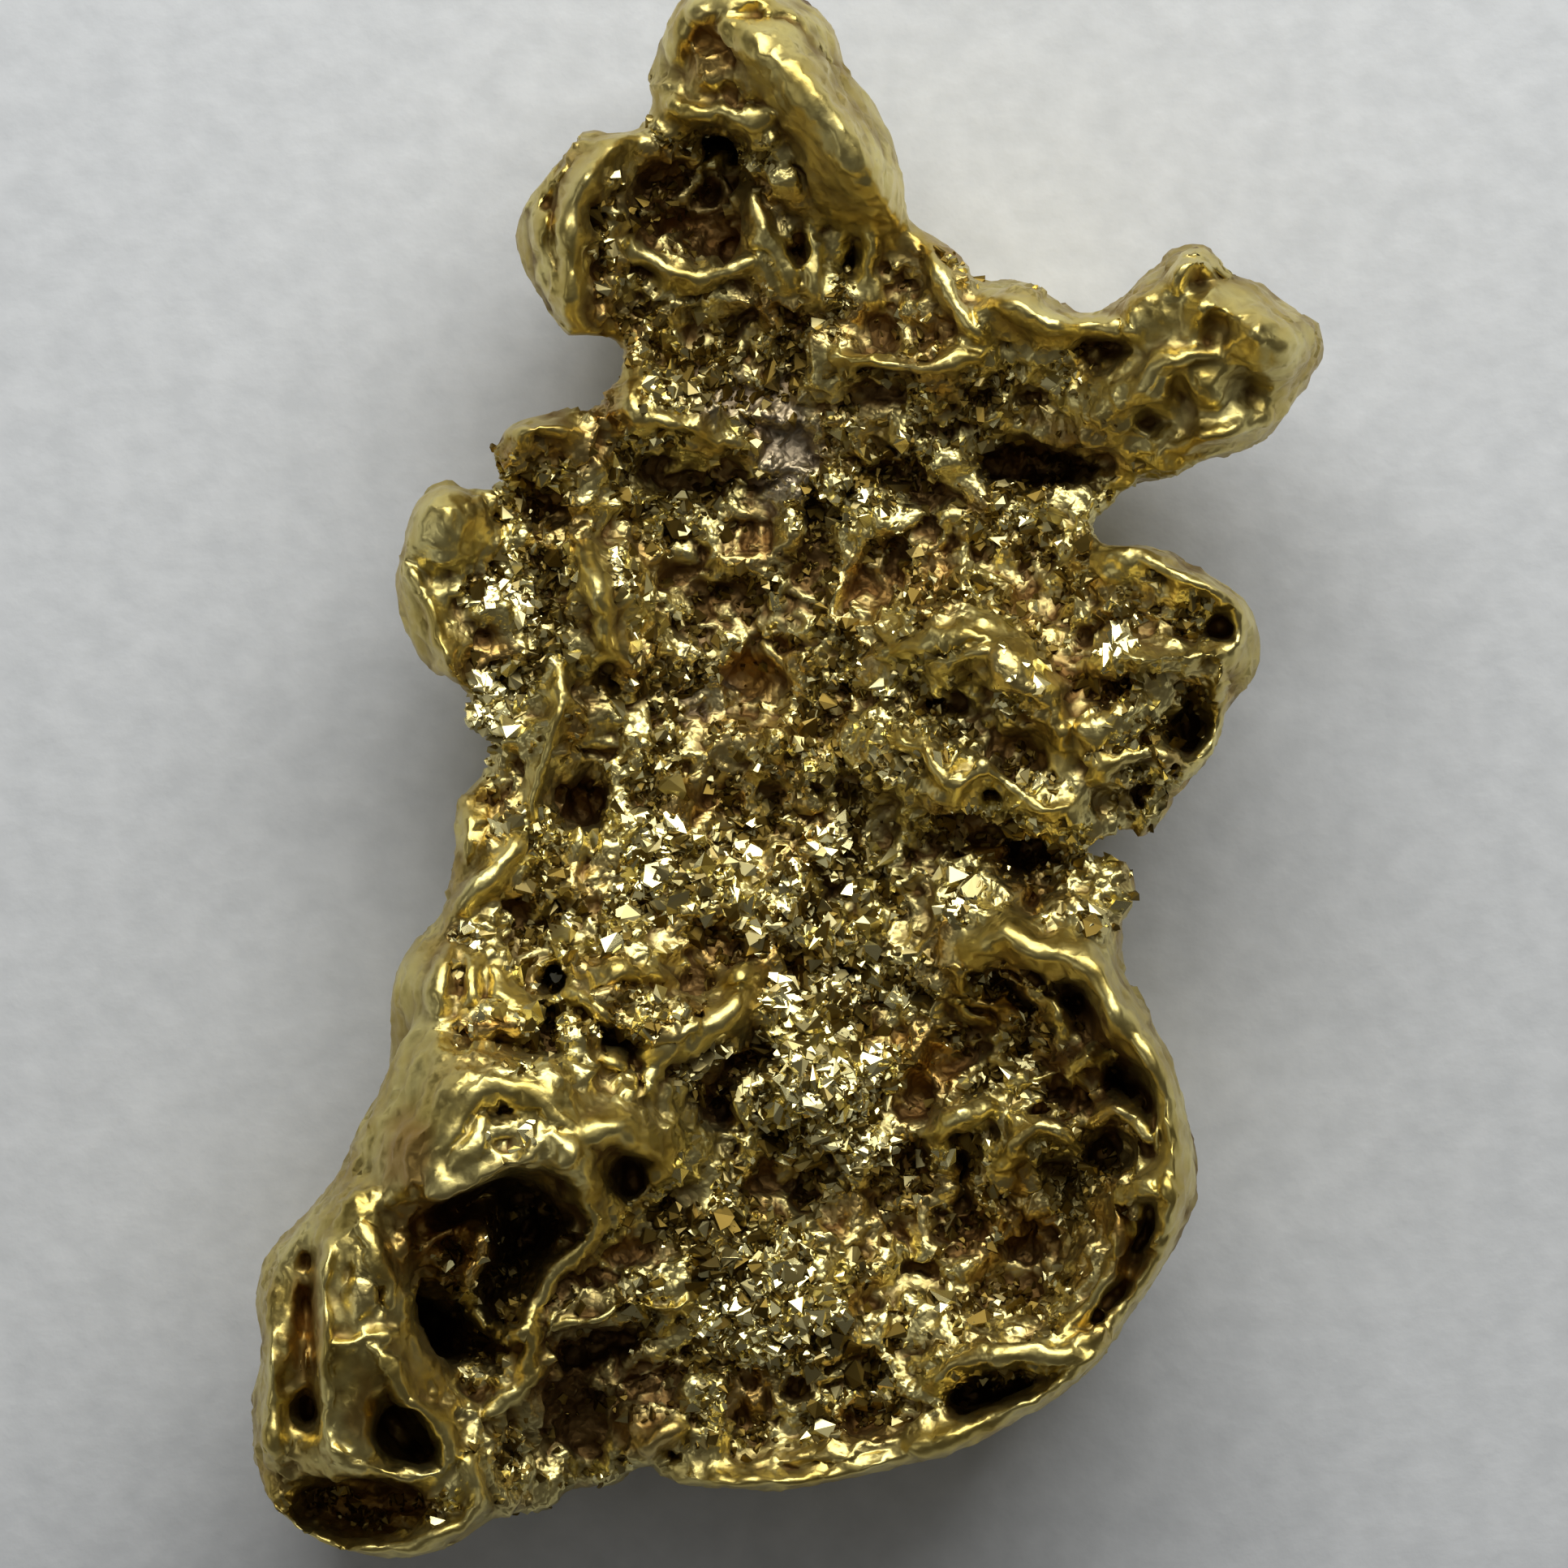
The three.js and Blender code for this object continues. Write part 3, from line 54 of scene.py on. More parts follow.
# Without a seed of its own, Blender's vector noise follows the clock.
noise.seed_set(SEED)
scene = bpy.context.scene


def in_scene(name, data):
    """A new object of the scene, which shows this mesh, camera or light."""
    made = bpy.data.objects.new(name, data)
    scene.collection.objects.link(made)
    return made


# %% [markdown]
# ## The camera
# The photo looks straight down on the nugget from a phone. A long lens from 40 cm keeps
# the raised tips from growing, and 20 mm of paper fill the picture at the height of the
# nugget's widest line. The picture's middle is 0.04 mm left of the nugget's middle and
# 0.18 mm towards its foot.

# %% Camera over the nugget
PICTURE_WIDTH = 20.0
PICTURE_MIDDLE = (-0.04, -0.18)
WIDEST_LINE = 3.4
CAMERA_DISTANCE = 400.0
SENSOR_WIDTH = 36.0

lens = bpy.data.cameras.new("overhead")
lens.sensor_width = SENSOR_WIDTH
lens.lens = SENSOR_WIDTH * CAMERA_DISTANCE / PICTURE_WIDTH
lens.clip_start = 0.01
lens.clip_end = 10.0
camera = in_scene("overhead", lens)
camera.location = Vector((*PICTURE_MIDDLE, WIDEST_LINE + CAMERA_DISTANCE)) * MM
scene.camera = camera
print("lens", round(lens.lens), "mm")

# %% [markdown]
# ## The block to sculpt
# The CAD node is loose triangles, so the copy is merged first. Blender's voxel remesher
# then turns it into one even skin of small squares, like fresh clay: long thin triangles
# can't be sculpted, and even ones can. A little smoothing takes off the CAD's facets.

# %% From the CAD solid to an even skin
BLOCK_VOXEL = 0.1
MERGE_DISTANCE = 0.002


def after_modifier(mesh, kind, **settings):
    """A new mesh: the old one after a modifier of this kind."""
    holder = in_scene("holder", mesh)
    modifier = holder.modifiers.new("change", kind)
    for key, value in settings.items():
        setattr(modifier, key, value)
    graph = bpy.context.evaluated_depsgraph_get()
    result = bpy.data.meshes.new_from_object(holder.evaluated_get(graph))
    bpy.data.objects.remove(holder)
    return result


def even_out(mesh, times, strength=0.5):
    """Moves each point of the mesh towards the middle of its neighbours."""
    form = bmesh.new()
    form.from_mesh(mesh)
    for _ in range(times):
        bmesh.ops.smooth_vert(
            form, verts=form.verts, factor=strength,
            use_axis_x=True, use_axis_y=True, use_axis_z=True,
        )
    form.to_mesh(mesh)
    form.free()


block = bpy.data.meshes.new("block")
form = bmesh.new()
form.from_mesh(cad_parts["nugget"].data)
form.transform(Matrix.Scale(1 / MM, 4))
bmesh.ops.remove_doubles(form, verts=form.verts, dist=MERGE_DISTANCE)
form.to_mesh(block)
form.free()
block = after_modifier(block, "REMESH", mode="VOXEL", voxel_size=BLOCK_VOXEL)
even_out(block, 2)
print("block", len(block.vertices), "points")

# %% [markdown]
# ## Sculpting tools
# A sculptor's tool is a place, a reach and a strength. Here each tool works on the plan,
# seen from above: a stroke is a smooth curve through a few points, an outline is a closed
# curve, and a pit or a patch is an oval. A tool adds to a lift, one number a point, which
# moves the point up or down. The lift fades out below the upper face, so the belly stays
# where the CAD put it.

# %% Points, masks and noise
BELLY = 0.5
UPPER_FACE = 3.0


def places_of(mesh):
    """The mesh's points as rows of x, y, z."""
    flat = np.empty(len(mesh.vertices) * 3)
    mesh.vertices.foreach_get("co", flat)
    return flat.reshape(-1, 3)


def put_places(mesh, places):
    """Moves the mesh's points to these rows."""
    mesh.vertices.foreach_set("co", places.ravel())
    mesh.update()


def normals_of(mesh):
    """The direction that the skin faces at each point, as rows."""
    flat = np.empty(len(mesh.vertices) * 3)
    mesh.vertex_normals.foreach_get("vector", flat)
    return flat.reshape(-1, 3)


def blurred(mesh, values, times):
    """The values evened out along the mesh's edges."""
    pairs = np.empty(len(mesh.edges) * 2, dtype=int)
    mesh.edges.foreach_get("vertices", pairs)
    starts, ends = pairs.reshape(-1, 2).T
    neighbours = np.bincount(pairs, minlength=len(values))
    for _ in range(times):
        total = values + np.bincount(starts, values[ends], len(values))
        total += np.bincount(ends, values[starts], len(values))
        values = total / (neighbours + 1)
    return values


def lumps(places, size):
    """Soft noise from about -1 to 1."""
    return np.array([noise.noise(Vector(place) / size) for place in places])


def wandering_plan(places, size, most):
    """The plan with each place pushed aside by noise, which makes outlines ragged."""
    push = np.array([noise.noise_vector(Vector(place) / size) for place in places])
    return places[:, :2] + most * push[:, :2]


def upper_share(places):
    """1 on the upper face, falling to 0 at the belly."""
    return np.clip((places[:, 2] - BELLY) / (UPPER_FACE - BELLY), 0, 1)


# %% Strokes, outlines and ovals
STROKE_END, STROKE_TAPER = 0.55, 6
ROUND_TOP, STEEP_WALL = 1.3, 0.8
# A patch fades as the first number less the second times how far out a place lies.
SHELF_FADE, SMOOTH_FADE, EARTH_FADE, FLAKE_FADE = (2, 1.6), (1.5, 1), (2, 1.5), (1.6, 1.2)


def curve_through(points, steps=5):
    """A smooth curve through the points, as more points."""
    points = np.array(points, dtype=float)
    padded = np.vstack([2 * points[0] - points[1], points, 2 * points[-1] - points[-2]])
    parts = []
    for before, start, end, after in zip(padded, padded[1:], padded[2:], padded[3:]):
        for t in np.linspace(0, 1, steps, endpoint=False):
            parts.append(0.5 * (
                2 * start + (end - before) * t
                + (2 * before - 5 * start + 4 * end - after) * t ** 2
                + (3 * start - before - 3 * end + after) * t ** 3
            ))
    return np.array([*parts, points[-1]])


def stroke_distance(plan, points, reach):
    """How far each place in plan is from the curve, up to a reach, and where along it."""
    curve = curve_through(points)
    nearest = np.full(len(plan), np.inf)
    along = np.zeros(len(plan))
    low, high = curve.min(axis=0) - reach, curve.max(axis=0) + reach
    near = np.flatnonzero(((plan > low) & (plan < high)).all(axis=1))
    spot = plan[near]
    for i, (start, end) in enumerate(zip(curve, curve[1:])):
        way = end - start
        share = np.clip(((spot - start) @ way) / max(way @ way, 1e-12), 0, 1)
        away = np.linalg.norm(spot - start - share[:, None] * way, axis=1)
        closer = away < nearest[near]
        nearest[near[closer]] = away[closer]
        along[near[closer]] = (i + share[closer]) / (len(curve) - 1)
    return nearest, along


def share_inside(plan, outline, wall):
    """0 outside a closed outline, rising to 1 over the width of its wall."""
    loop = [*outline, outline[0]]
    away, _ = stroke_distance(plan, loop, wall)
    curve = curve_through(loop)
    low, high = curve.min(axis=0), curve.max(axis=0)
    near = np.flatnonzero(((plan > low) & (plan < high)).all(axis=1))
    x, y = plan[near].T
    within = np.zeros(len(near), dtype=bool)
    for (start_x, start_y), (end_x, end_y) in zip(curve, curve[1:]):
        if start_y != end_y:
            cross = start_x + (y - start_y) * (end_x - start_x) / (end_y - start_y)
            within ^= ((start_y > y) != (end_y > y)) & (x < cross)
    share = np.zeros(len(plan))
    share[near] = np.clip(away[near] / wall, 0, 1) * within
    return share ** 2 * (3 - 2 * share)


def raise_stroke(lift, plan, points, width, height):
    """Adds a rounded ridge, or a groove for a height below zero, tapering at both ends."""
    away, along = stroke_distance(plan, points, width)
    from_end = np.clip(np.minimum(along, 1 - along) * STROKE_TAPER, 0, 1)
    taper = STROKE_END + (1 - STROKE_END) * from_end
    profile = np.clip(1 - (away / (width * taper)) ** 2, 0, 1)
    lift += height * taper * profile ** ROUND_TOP


def oval_size(plan, x, y, half_x, half_y):
    """How far out each place lies on an oval: 0 at its middle, 1 on its edge."""
    return np.hypot((plan[:, 0] - x) / half_x, (plan[:, 1] - y) / half_y)


def sink_pit(lift, plan, x, y, half_x, half_y, depth):
    """Adds an oval pit with steep walls."""
    size = oval_size(plan, x, y, half_x, half_y)
    lift -= depth * np.clip(1 - size ** 2, 0, 1) ** STEEP_WALL


def oval_share(plan, oval, fade):
    """1 in the middle of an oval, fading to 0 near its edge."""
    start, fall = fade
    return np.clip(start - fall * oval_size(plan, *oval), 0, 1)


def lean_patch(lift, plan, x, y, half_x, half_y, rise):
    """Tips an oval patch towards the crown, or away from it for a rise below zero."""
    share = oval_share(plan, (x, y, half_x, half_y), SHELF_FADE)
    lift += rise * (y - plan[:, 1]) * share


def patch_share(plan, patches, fade):
    """How much each place lies in any of some oval patches, from 0 to their strength."""
    share = np.zeros(len(plan))
    for *oval, strength in patches:
        share = np.maximum(share, strength * oval_share(plan, oval, fade))
    return share


# %% [markdown]
# ## Caves first
# The dark caves are what the eye finds first in this nugget, so they are cut while the
# skin is still coarse. A big cave is a closed outline, and a small one is an oval. Noise
# pushes both aside, because nothing in a nugget is drilled. The skin is remeshed after
# it, because steep walls stretch it.

# %% Outlines of the big hollows
# Each hollow: its outline, its depth and the width of its sloping wall.
HOLLOWS = {
    "crown": ([(-1.29, 8.04), (-0.89, 8.17), (-0.41, 8.04), (-0.41, 7.53), (-0.54, 7.05),
        (-0.48, 6.59), (-0.89, 6.37), (-1.49, 6.49), (-2.01, 6.78), (-2.22, 7.22), (-2.09, 7.69),
        (-1.7, 7.9)], 0.75, 0.4),
    "neck_stair": ([(-1.76, 4.18), (-1.24, 4.05), (-0.72, 3.77), (-0.1, 3.61), (-0.31, 3.2),
        (-1.14, 3.41), (-1.86, 3.72)], 0.25, 0.3),
    "shoulder_trench": ([(3.73, 5.58), (4.1, 5.54), (4.43, 5.48), (4.45, 5.31), (3.93, 5.27),
        (3.6, 5.39)], 0.5, 0.15),
    "under_arm": ([(2.28, 4.18), (2.9, 4.34), (3.62, 4.18), (4.24, 4.08), (4.14, 3.72),
        (3.31, 3.51), (2.38, 3.61)], 0.55, 0.3),
    "left_pool": ([(-3.42, 3.61), (-2.9, 3.72), (-2.67, 3.41), (-2.9, 2.99), (-3.31, 2.99),
        (-3.56, 3.3)], 0.4, 0.25),
    "left_den": ([(-3.17, -0.07), (-2.8, 0.09), (-2.28, -0.01), (-2.13, -0.53), (-2.38, -0.9),
        (-2.9, -0.84), (-3.21, -0.53)], 0.7, 0.25),
    "leaf_shadow": ([(-1.49, -3.86), (-1.04, -3.67), (-0.62, -3.39), (-0.35, -3.63),
        (-0.56, -4.15), (-0.72, -4.63), (-1.24, -4.57)], 0.5, 0.3),
    "ochre_panel": ([(1.35, -4.67), (1.86, -4.59), (1.97, -5.08), (1.86, -5.5),
        (1.39, -5.39)], 0.3, 0.25),
    "basin_bowl": ([(-1.76, 2.16), (-0.72, 2.58), (0.1, 1.96), (0.31, 0.92), (-0.41, 0.2),
        (-1.35, 0.51), (-1.86, 1.23)], 0.35, 0.6),
    "right_den": ([(4.76, 1.02), (5.18, 1.13), (5.45, 0.82), (5.38, 0.2), (4.97, 0.09),
        (4.76, 0.51)], 0.7, 0.22),
    "block_recess": ([(2.34, 1.31), (2.71, 1.11), (3.02, 0.73), (2.96, 0.4), (2.59, 0.51),
        (2.28, 0.92)], 0.15, 0.3),
    "block_shadow": ([(1.86, -0.37), (2.38, -0.37), (2.9, -0.63), (3.42, -0.73), (3.58, -1.25),
        (3.31, -1.87), (2.9, -1.87), (2.59, -1.15), (1.86, -0.84)], 0.55, 0.3),
    "bowl_den": ([(2.51, -2.7), (2.75, -2.52), (3.02, -2.74), (3.29, -2.97), (3.19, -3.18),
        (2.8, -3.05)], 1.0, 0.2),
    "bowl_shade": ([(3.42, -2.56), (3.87, -2.74), (4.12, -3.16), (4.49, -3.63), (4.8, -4.15),
        (4.8, -4.98), (4.49, -5.14), (4.35, -4.57), (3.93, -3.94), (3.73, -3.53),
        (3.42, -3.12)], 0.7, 0.25),
    "bowl_pocket": ([(3.89, -3.8), (4.35, -3.67), (4.62, -3.94), (4.78, -4.38), (4.72, -4.77),
        (4.43, -4.32), (3.95, -4.11)], 0.5, 0.15),
    "bowl_nook": ([(3.83, -4.57), (4.2, -4.5), (4.45, -4.77), (4.35, -5.19), (3.93, -5.19),
        (3.73, -4.88)], 0.6, 0.2),
    "bowl_crack": ([(2.03, -4.67), (2.34, -4.63), (2.44, -4.98), (2.34, -5.5),
        (2.07, -5.54)], 0.55, 0.14),
    "rim_slot": ([(4.47, -5.46), (4.72, -5.48), (4.76, -5.83), (4.6, -6.24), (4.33, -6.74),
        (3.95, -7.15), (3.73, -7.15), (4.16, -6.53), (4.37, -6.01)], 1.3, 0.14),
    "bowl_floor": ([(0.83, -5.19), (1.55, -5.39), (2.48, -5.6), (3.31, -5.5), (3.83, -5.91),
        (3.52, -6.74), (2.38, -7.15), (1.35, -6.74), (0.93, -6.01)], 0.3, 0.5),
    "foot_slot": ([(1.97, -8.06), (2.17, -7.8), (2.69, -7.65), (3.31, -7.61), (3.73, -7.61),
        (3.31, -7.9), (2.69, -8.17), (2.17, -8.27)], 0.9, 0.2),
    "lobe_cave": ([(-4.91, -5.77), (-4.55, -5.56), (-3.93, -5.43), (-3.42, -5.21), (-3.04, -5.19),
        (-2.77, -5.48), (-2.63, -5.81), (-2.9, -6.18), (-3.31, -6.53), (-3.5, -7.15), (-3.73, -7.67),
        (-4.45, -7.67), (-4.8, -7.26), (-4.91, -6.64), (-4.95, -6.12)], 0.75, 0.3),
    "lobe_cellar": ([(-3.42, -5.7), (-2.9, -5.5), (-2.65, -5.79), (-2.9, -6.12), (-3.42, -6.33),
        (-3.71, -6.22)], 0.35, 0.2),
    "branch_hollow": ([(-2.48, -4.88), (-2.17, -4.73), (-1.86, -4.94), (-1.76, -5.29),
        (-2.01, -5.5), (-2.34, -5.33)], 0.6, 0.18),
    "ledge_shadow": ([(-3.04, -7.26), (-2.59, -7.11), (-1.86, -6.97), (-1.55, -7.26),
        (-2.17, -7.57), (-2.9, -7.67)], 0.5, 0.2),
    "leaf_trench": ([(-4.62, -3.24), (-4.24, -3.24), (-3.73, -3.3), (-3.31, -3.24),
        (-3.19, -2.91), (-2.9, -3.01), (-2.75, -3.53), (-2.9, -3.76), (-3.42, -3.74),
        (-4.04, -3.53)], 0.9, 0.16),
    "wall_hollow": ([(-5.36, -7.94), (-5.03, -7.84), (-4.76, -8.23), (-4.4, -8.5), (-4.45, -8.81),
        (-4.87, -8.85), (-5.26, -8.6)], 0.6, 0.2),
    "ring": ([(-6.4, -9.33), (-6, -9.06), (-5.38, -8.98), (-4.66, -9.08), (-4.18, -9.27),
        (-4.24, -9.51), (-4.87, -9.68), (-5.69, -9.7), (-6.21, -9.6)], 0.6, 0.25),
    "left_slot": ([(-6.23, -6.12), (-5.96, -5.99), (-5.92, -6.74), (-5.92, -7.77), (-5.88, -8.35),
        (-6.19, -8.46), (-6.31, -8.08), (-6.15, -7.67), (-6.25, -6.95)], 0.8, 0.14),
}

# %% Small pits and grooves
# Each pit: x, y, half its width, half its length and its depth.
PITS = [
    # crown and upper left lobe
    (-0.88, 7.92, 0.36, 0.2, 0.8), (-1, 7.38, 0.18, 0.2, 0.6), (0.14, 6.59, 0.13, 0.22, 0.45),
    (0.8, 6.49, 0.16, 0.4, 0.6), (-2.43, 6.41, 0.2, 0.3, 0.35), (-2.45, 7.08, 0.16, 0.3, 0.3),
    (-2.96, 6.53, 0.07, 0.3, 0.4), (0.43, 9.04, 0.1, 0.1, 0.2), (-0.83, 6.9, 0.1, 0.12, 0.3),
    # arm and shoulder
    (4.61, 4.44, 0.34, 0.12, 0.4), (5.3, 6.21, 0.24, 0.12, 0.4), (1.66, 6.18, 0.16, 0.14, 0.35),
    (5.51, 5.55, 0.26, 0.22, 0.34), (5.79, 4.92, 0.28, 0.24, 0.34), (4.99, 4.88, 0.22, 0.17, 0.32),
    (4.14, 5.35, 0.26, 0.1, 0.3), (6.19, 5.14, 0.2, 0.16, 0.12),
    # left side
    (-2.28, 1.21, 0.22, 0.2, 0.4), (-1.35, -0.09, 0.18, 0.18, 0.25), (-3.73, 3.24, 0.16, 0.2, 0.3),
    (-4.45, 3.07, 0.1, 0.1, 0.12),
    # right lobe and block
    (5.53, 1.78, 0.16, 0.18, 0.5), (4.31, 1.07, 0.24, 0.18, 0.5), (3.06, -1.73, 0.18, 0.14, 0.4),
    (4.16, -0.38, 0.14, 0.12, 0.4), (4.55, -0.32, 0.13, 0.12, 0.4), (2.03, 0.84, 0.34, 0.2, 0.5),
    # bowl
    (3.64, -2.85, 0.26, 0.16, 0.4), (3.46, -4.11, 0.18, 0.2, 0.5), (3.17, -4.34, 0.2, 0.12, 0.4),
    (-1.45, -8.73, 0.14, 0.12, 0.4), (-1.12, -3.17, 0.28, 0.08, 0.35), (-2.09, -2.72, 0.16, 0.05, 0.25),
    (-2.07, -3.45, 0.3, 0.07, 0.25),
    # lower left lobe
    (-3.57, -4.34, 0.17, 0.2, 0.45), (-3.86, -4.94, 0.14, 0.1, 0.3), (-2.84, -4.54, 0.08, 0.14, 0.25),
    (-4.12, -4.75, 0.08, 0.14, 0.25), (-3.52, -4.75, 0.14, 0.1, 0.25), (-3.04, -4.92, 0.06, 0.1, 0.2),
    (-4.45, -6.84, 0.36, 0.36, 0.4), (-4.24, -6.12, 0.3, 0.3, 0.3), (-4.68, -8.71, 0.26, 0.16, 0.4),
    (-5.51, -5.83, 0.14, 0.05, 0.3), (-5.53, -6.45, 0.1, 0.14, 0.2), (-5.18, -6.64, 0.08, 0.2, 0.2),
    (-6.52, -6.53, 0.1, 0.16, 0.25), (-5.47, -6.95, 0.12, 0.1, 0.15),
]
# Each groove: its points, its width and its height, which is below zero.
GROOVES = {
    "lip_groove": ([(1.97, -8.56), (1.35, -8.71), (0.83, -8.82), (0.1, -8.92),
        (-0.41, -8.87)], 0.09, -0.35),
    "neck_crack": ([(-1.35, 4.18), (-0.89, 4.03), (-0.47, 3.77), (-0.05, 3.7)], 0.12, -0.3),
    "plateau_step": ([(-5.86, -7.24), (-5.49, -7.28), (-5.07, -7.15)], 0.08, -0.15),
    "flank_seam": ([(-4.24, -9.18), (-4.87, -9.02), (-5.38, -8.89), (-5.82, -8.77)], 0.07, -0.2),
    "crown_seam": ([(-0.41, 8.5), (-0.1, 8.17), (0.14, 7.65), (0.31, 7.11)], 0.12, -0.3),
}

# %% [markdown]
# ## Fills, swells and shelves
# A fill raises a place up to a level and leaves alone what is higher already. A swell is
# a broad soft stroke. Light comes from beyond the crown, so a fill or a shelf that rises
# towards the foot faces the light and shines, and one that falls that way goes dark.

# %% Places filled up to a level
# Each fill: its outline, its level, the width of its edge and its rise towards the foot,
# in millimetres for each millimetre.
FILLS = {
    "lobe_top": ([(-4.66, -5.48), (-4.55, -5.04), (-4.24, -4.51), (-3.83, -4.09), (-3.31, -4.01),
        (-2.75, -4.32), (-2.55, -4.77), (-2.67, -5.19), (-3, -5.14), (-3.42, -5.14), (-3.93, -5.39),
        (-4.35, -5.54)], 6.1, 0.14, 0.45),
    "cave_slope": ([(-5.09, -5.95), (-4.87, -5.77), (-4.24, -5.6), (-3.71, -5.46), (-3.6, -5.91),
        (-3.79, -6.53), (-4.24, -6.95), (-4.74, -6.86), (-4.99, -6.33)], 5.45, 0.3, -0.7),
    "ring_floor": ([(-6.42, -9.33), (-6, -9.02), (-5.38, -8.93), (-4.66, -9.04), (-4.14, -9.22),
        (-4.24, -9.55), (-4.87, -9.72), (-5.69, -9.74), (-6.25, -9.64)], 3.9, 0.2, 0.0),
    "crown_face": ([(-1.35, 9.2), (-1.04, 9.45), (-0.64, 9.31), (-0.31, 8.89), (-0.21, 8.58),
        (-0.72, 8.48), (-1.29, 8.58)], 4.7, 0.3, 0.0),
    "arm_back": ([(4.87, 5.89), (5.28, 6.1), (5.69, 5.97), (6, 5.68), (6.11, 5.17), (5.8, 4.65),
        (5.28, 4.54), (4.87, 4.86)], 5.0, 0.4, 0.0),
    "crown_floor": ([(-1.76, 7.86), (-1.24, 8.04), (-0.72, 7.9), (-0.54, 7.24), (-0.7, 6.59),
        (-1.35, 6.43), (-1.88, 6.8), (-2.09, 7.34)], 3.9, 0.25, 0.0),
    "block_slope": ([(2.51, 1.15), (2.9, 1.27), (3.31, 1.02), (3.42, 0.51), (3.02, 0.32),
        (2.59, 0.61)], 4.2, 0.2, 0.3),
    "leaf_body": ([(-2.63, -2.83), (-2.22, -2.64), (-1.76, -2.68), (-1.24, -2.87), (-0.93, -3.12),
        (-1.24, -3.45), (-1.7, -3.59), (-2.17, -3.39), (-2.48, -3.12)], 4.65, 0.2, 0.4),
}

# %% Swells, and shelves that lean
# Each swell: its points, its width and its height.
SWELLS = {
    "arm": ([(4.87, 5.48), (5.49, 5.27), (6.11, 5.17)], 0.75, 0.35),
    "crown": ([(0.31, 9), (0.93, 7.96), (1.19, 7.13)], 0.5, 0.3),
    "basin_bright": ([(0.31, -2.49), (0.52, -3.63), (0.52, -4.67)], 0.8, 0.35),
    "basin_upper": ([(-1.45, -1.36), (-0.72, -1.67), (-0.1, -1.46)], 0.7, 0.25),
    "basin_foot": ([(-0.72, -6.22), (0.1, -6.64), (0.41, -7.26)], 0.7, 0.35),
    "shoulder": ([(2.48, 5.68), (3.11, 5.79), (3.52, 5.58)], 0.5, 0.3),
    "left_lump": ([(-4.24, 2.58), (-4.04, 1.75), (-3.83, 1.13)], 0.6, 0.3),
}
# Each shelf: x, y, half its width, half its length and its rise towards the foot.
LEANING = [
    # shelves that face the light
    (0.47, -3.53, 0.9, 1.2, 0.32), (-0.21, -6.74, 0.9, 0.7, 0.35), (-0.72, -1.36, 1.4, 0.6, 0.3),
    (0.31, -2.86, 0.6, 0.4, 0.5), (0.67, -3.89, 0.6, 0.4, 0.5), (0.83, -4.72, 0.5, 0.35, 0.45),
    (-0.36, -6.33, 0.5, 0.35, 0.5), (-0.05, -7.05, 0.5, 0.35, 0.5), (-1.45, -1.72, 0.45, 0.3, 0.5),
    (0.31, -0.89, 0.5, 0.3, 0.45), (-0.57, -1.56, 0.5, 0.3, 0.45), (-1.6, -0.89, 0.4, 0.3, 0.45),
    (-2.38, 2.47, 0.35, 0.5, 0.4), (-2.28, 1.59, 0.3, 0.3, 0.5), (-3.78, 0.92, 0.4, 0.4, 0.45),
    (-3.62, 2.11, 0.4, 0.4, 0.4), (-1.24, -3.53, 0.45, 0.3, 0.5), (6.11, 5.66, 0.6, 0.55, 0.5),
    (5.38, 5.84, 0.3, 0.25, 0.5), (-3.62, -4.57, 0.7, 0.45, 0.45), (2.85, 1.18, 0.4, 0.35, 0.45),
    (3.31, -0.32, 0.4, 0.3, 0.45), (4.87, 2.53, 0.45, 0.3, 0.5), (4.35, 1.54, 0.4, 0.3, 0.4),
    (-4.09, -2.39, 0.3, 0.4, 0.5), (2.17, -1.67, 0.4, 0.3, 0.35), (2.9, -3.84, 0.35, 0.25, 0.4),
    # shelves that face away from it
    (-1.04, -4.1, 0.5, 0.4, -0.4), (1.14, -5.29, 0.4, 0.3, -0.4), (1.86, -6.01, 0.5, 0.4, -0.4),
    (3.73, -3.53, 0.6, 0.5, -0.4), (-2.38, -7.36, 0.6, 0.4, -0.4), (0.31, 2.11, 0.6, 0.5, -0.3),
    (3.42, 4.03, 0.6, 0.35, -0.4), (-2.9, -3.53, 0.5, 0.3, -0.4), (-0.21, 3.1, 0.5, 0.4, -0.3),
]

# %% Cut the caves
WANDER_SIZE, WANDER = 0.35, 0.07
RAGGED_SIZE, RAGGED = 0.3, 0.17

places = places_of(block)
plan = wandering_plan(places, WANDER_SIZE, WANDER)
lift = np.zeros(len(places))
for points, width, height in [*SWELLS.values(), *GROOVES.values()]:
    raise_stroke(lift, plan, points, width, height)
for outline, level, wall, rise in FILLS.values():
    middle = np.mean([spot[1] for spot in outline])
    short = np.clip(level + rise * (middle - plan[:, 1]) - places[:, 2] - lift, 0, None)
    lift += share_inside(plan, outline, wall) * short
for outline, depth, wall in HOLLOWS.values():
    lift -= depth * share_inside(plan, outline, wall)
ragged_plan = wandering_plan(places, RAGGED_SIZE, RAGGED)
for patch in LEANING:
    lean_patch(lift, ragged_plan, *patch)
for pit in PITS:
    sink_pit(lift, ragged_plan, *pit)
places[:, 2] += lift * upper_share(places)
put_places(block, places)
print("deepest cut", round(-lift.min(), 2), "mm")

# %% [markdown]
# ## Ridges, rims and strands
# The worn gold shows as ridges that branch and curl round the caves. Each one is a curve
# with a width and a height. Because the same few numbers make a broad rim and a thin
# strand, one loop draws them all. Where ridges cross, the higher one counts. Noise makes
# them wander and makes them uneven, the thin ones most. What stands up like a spire is
# worn down.

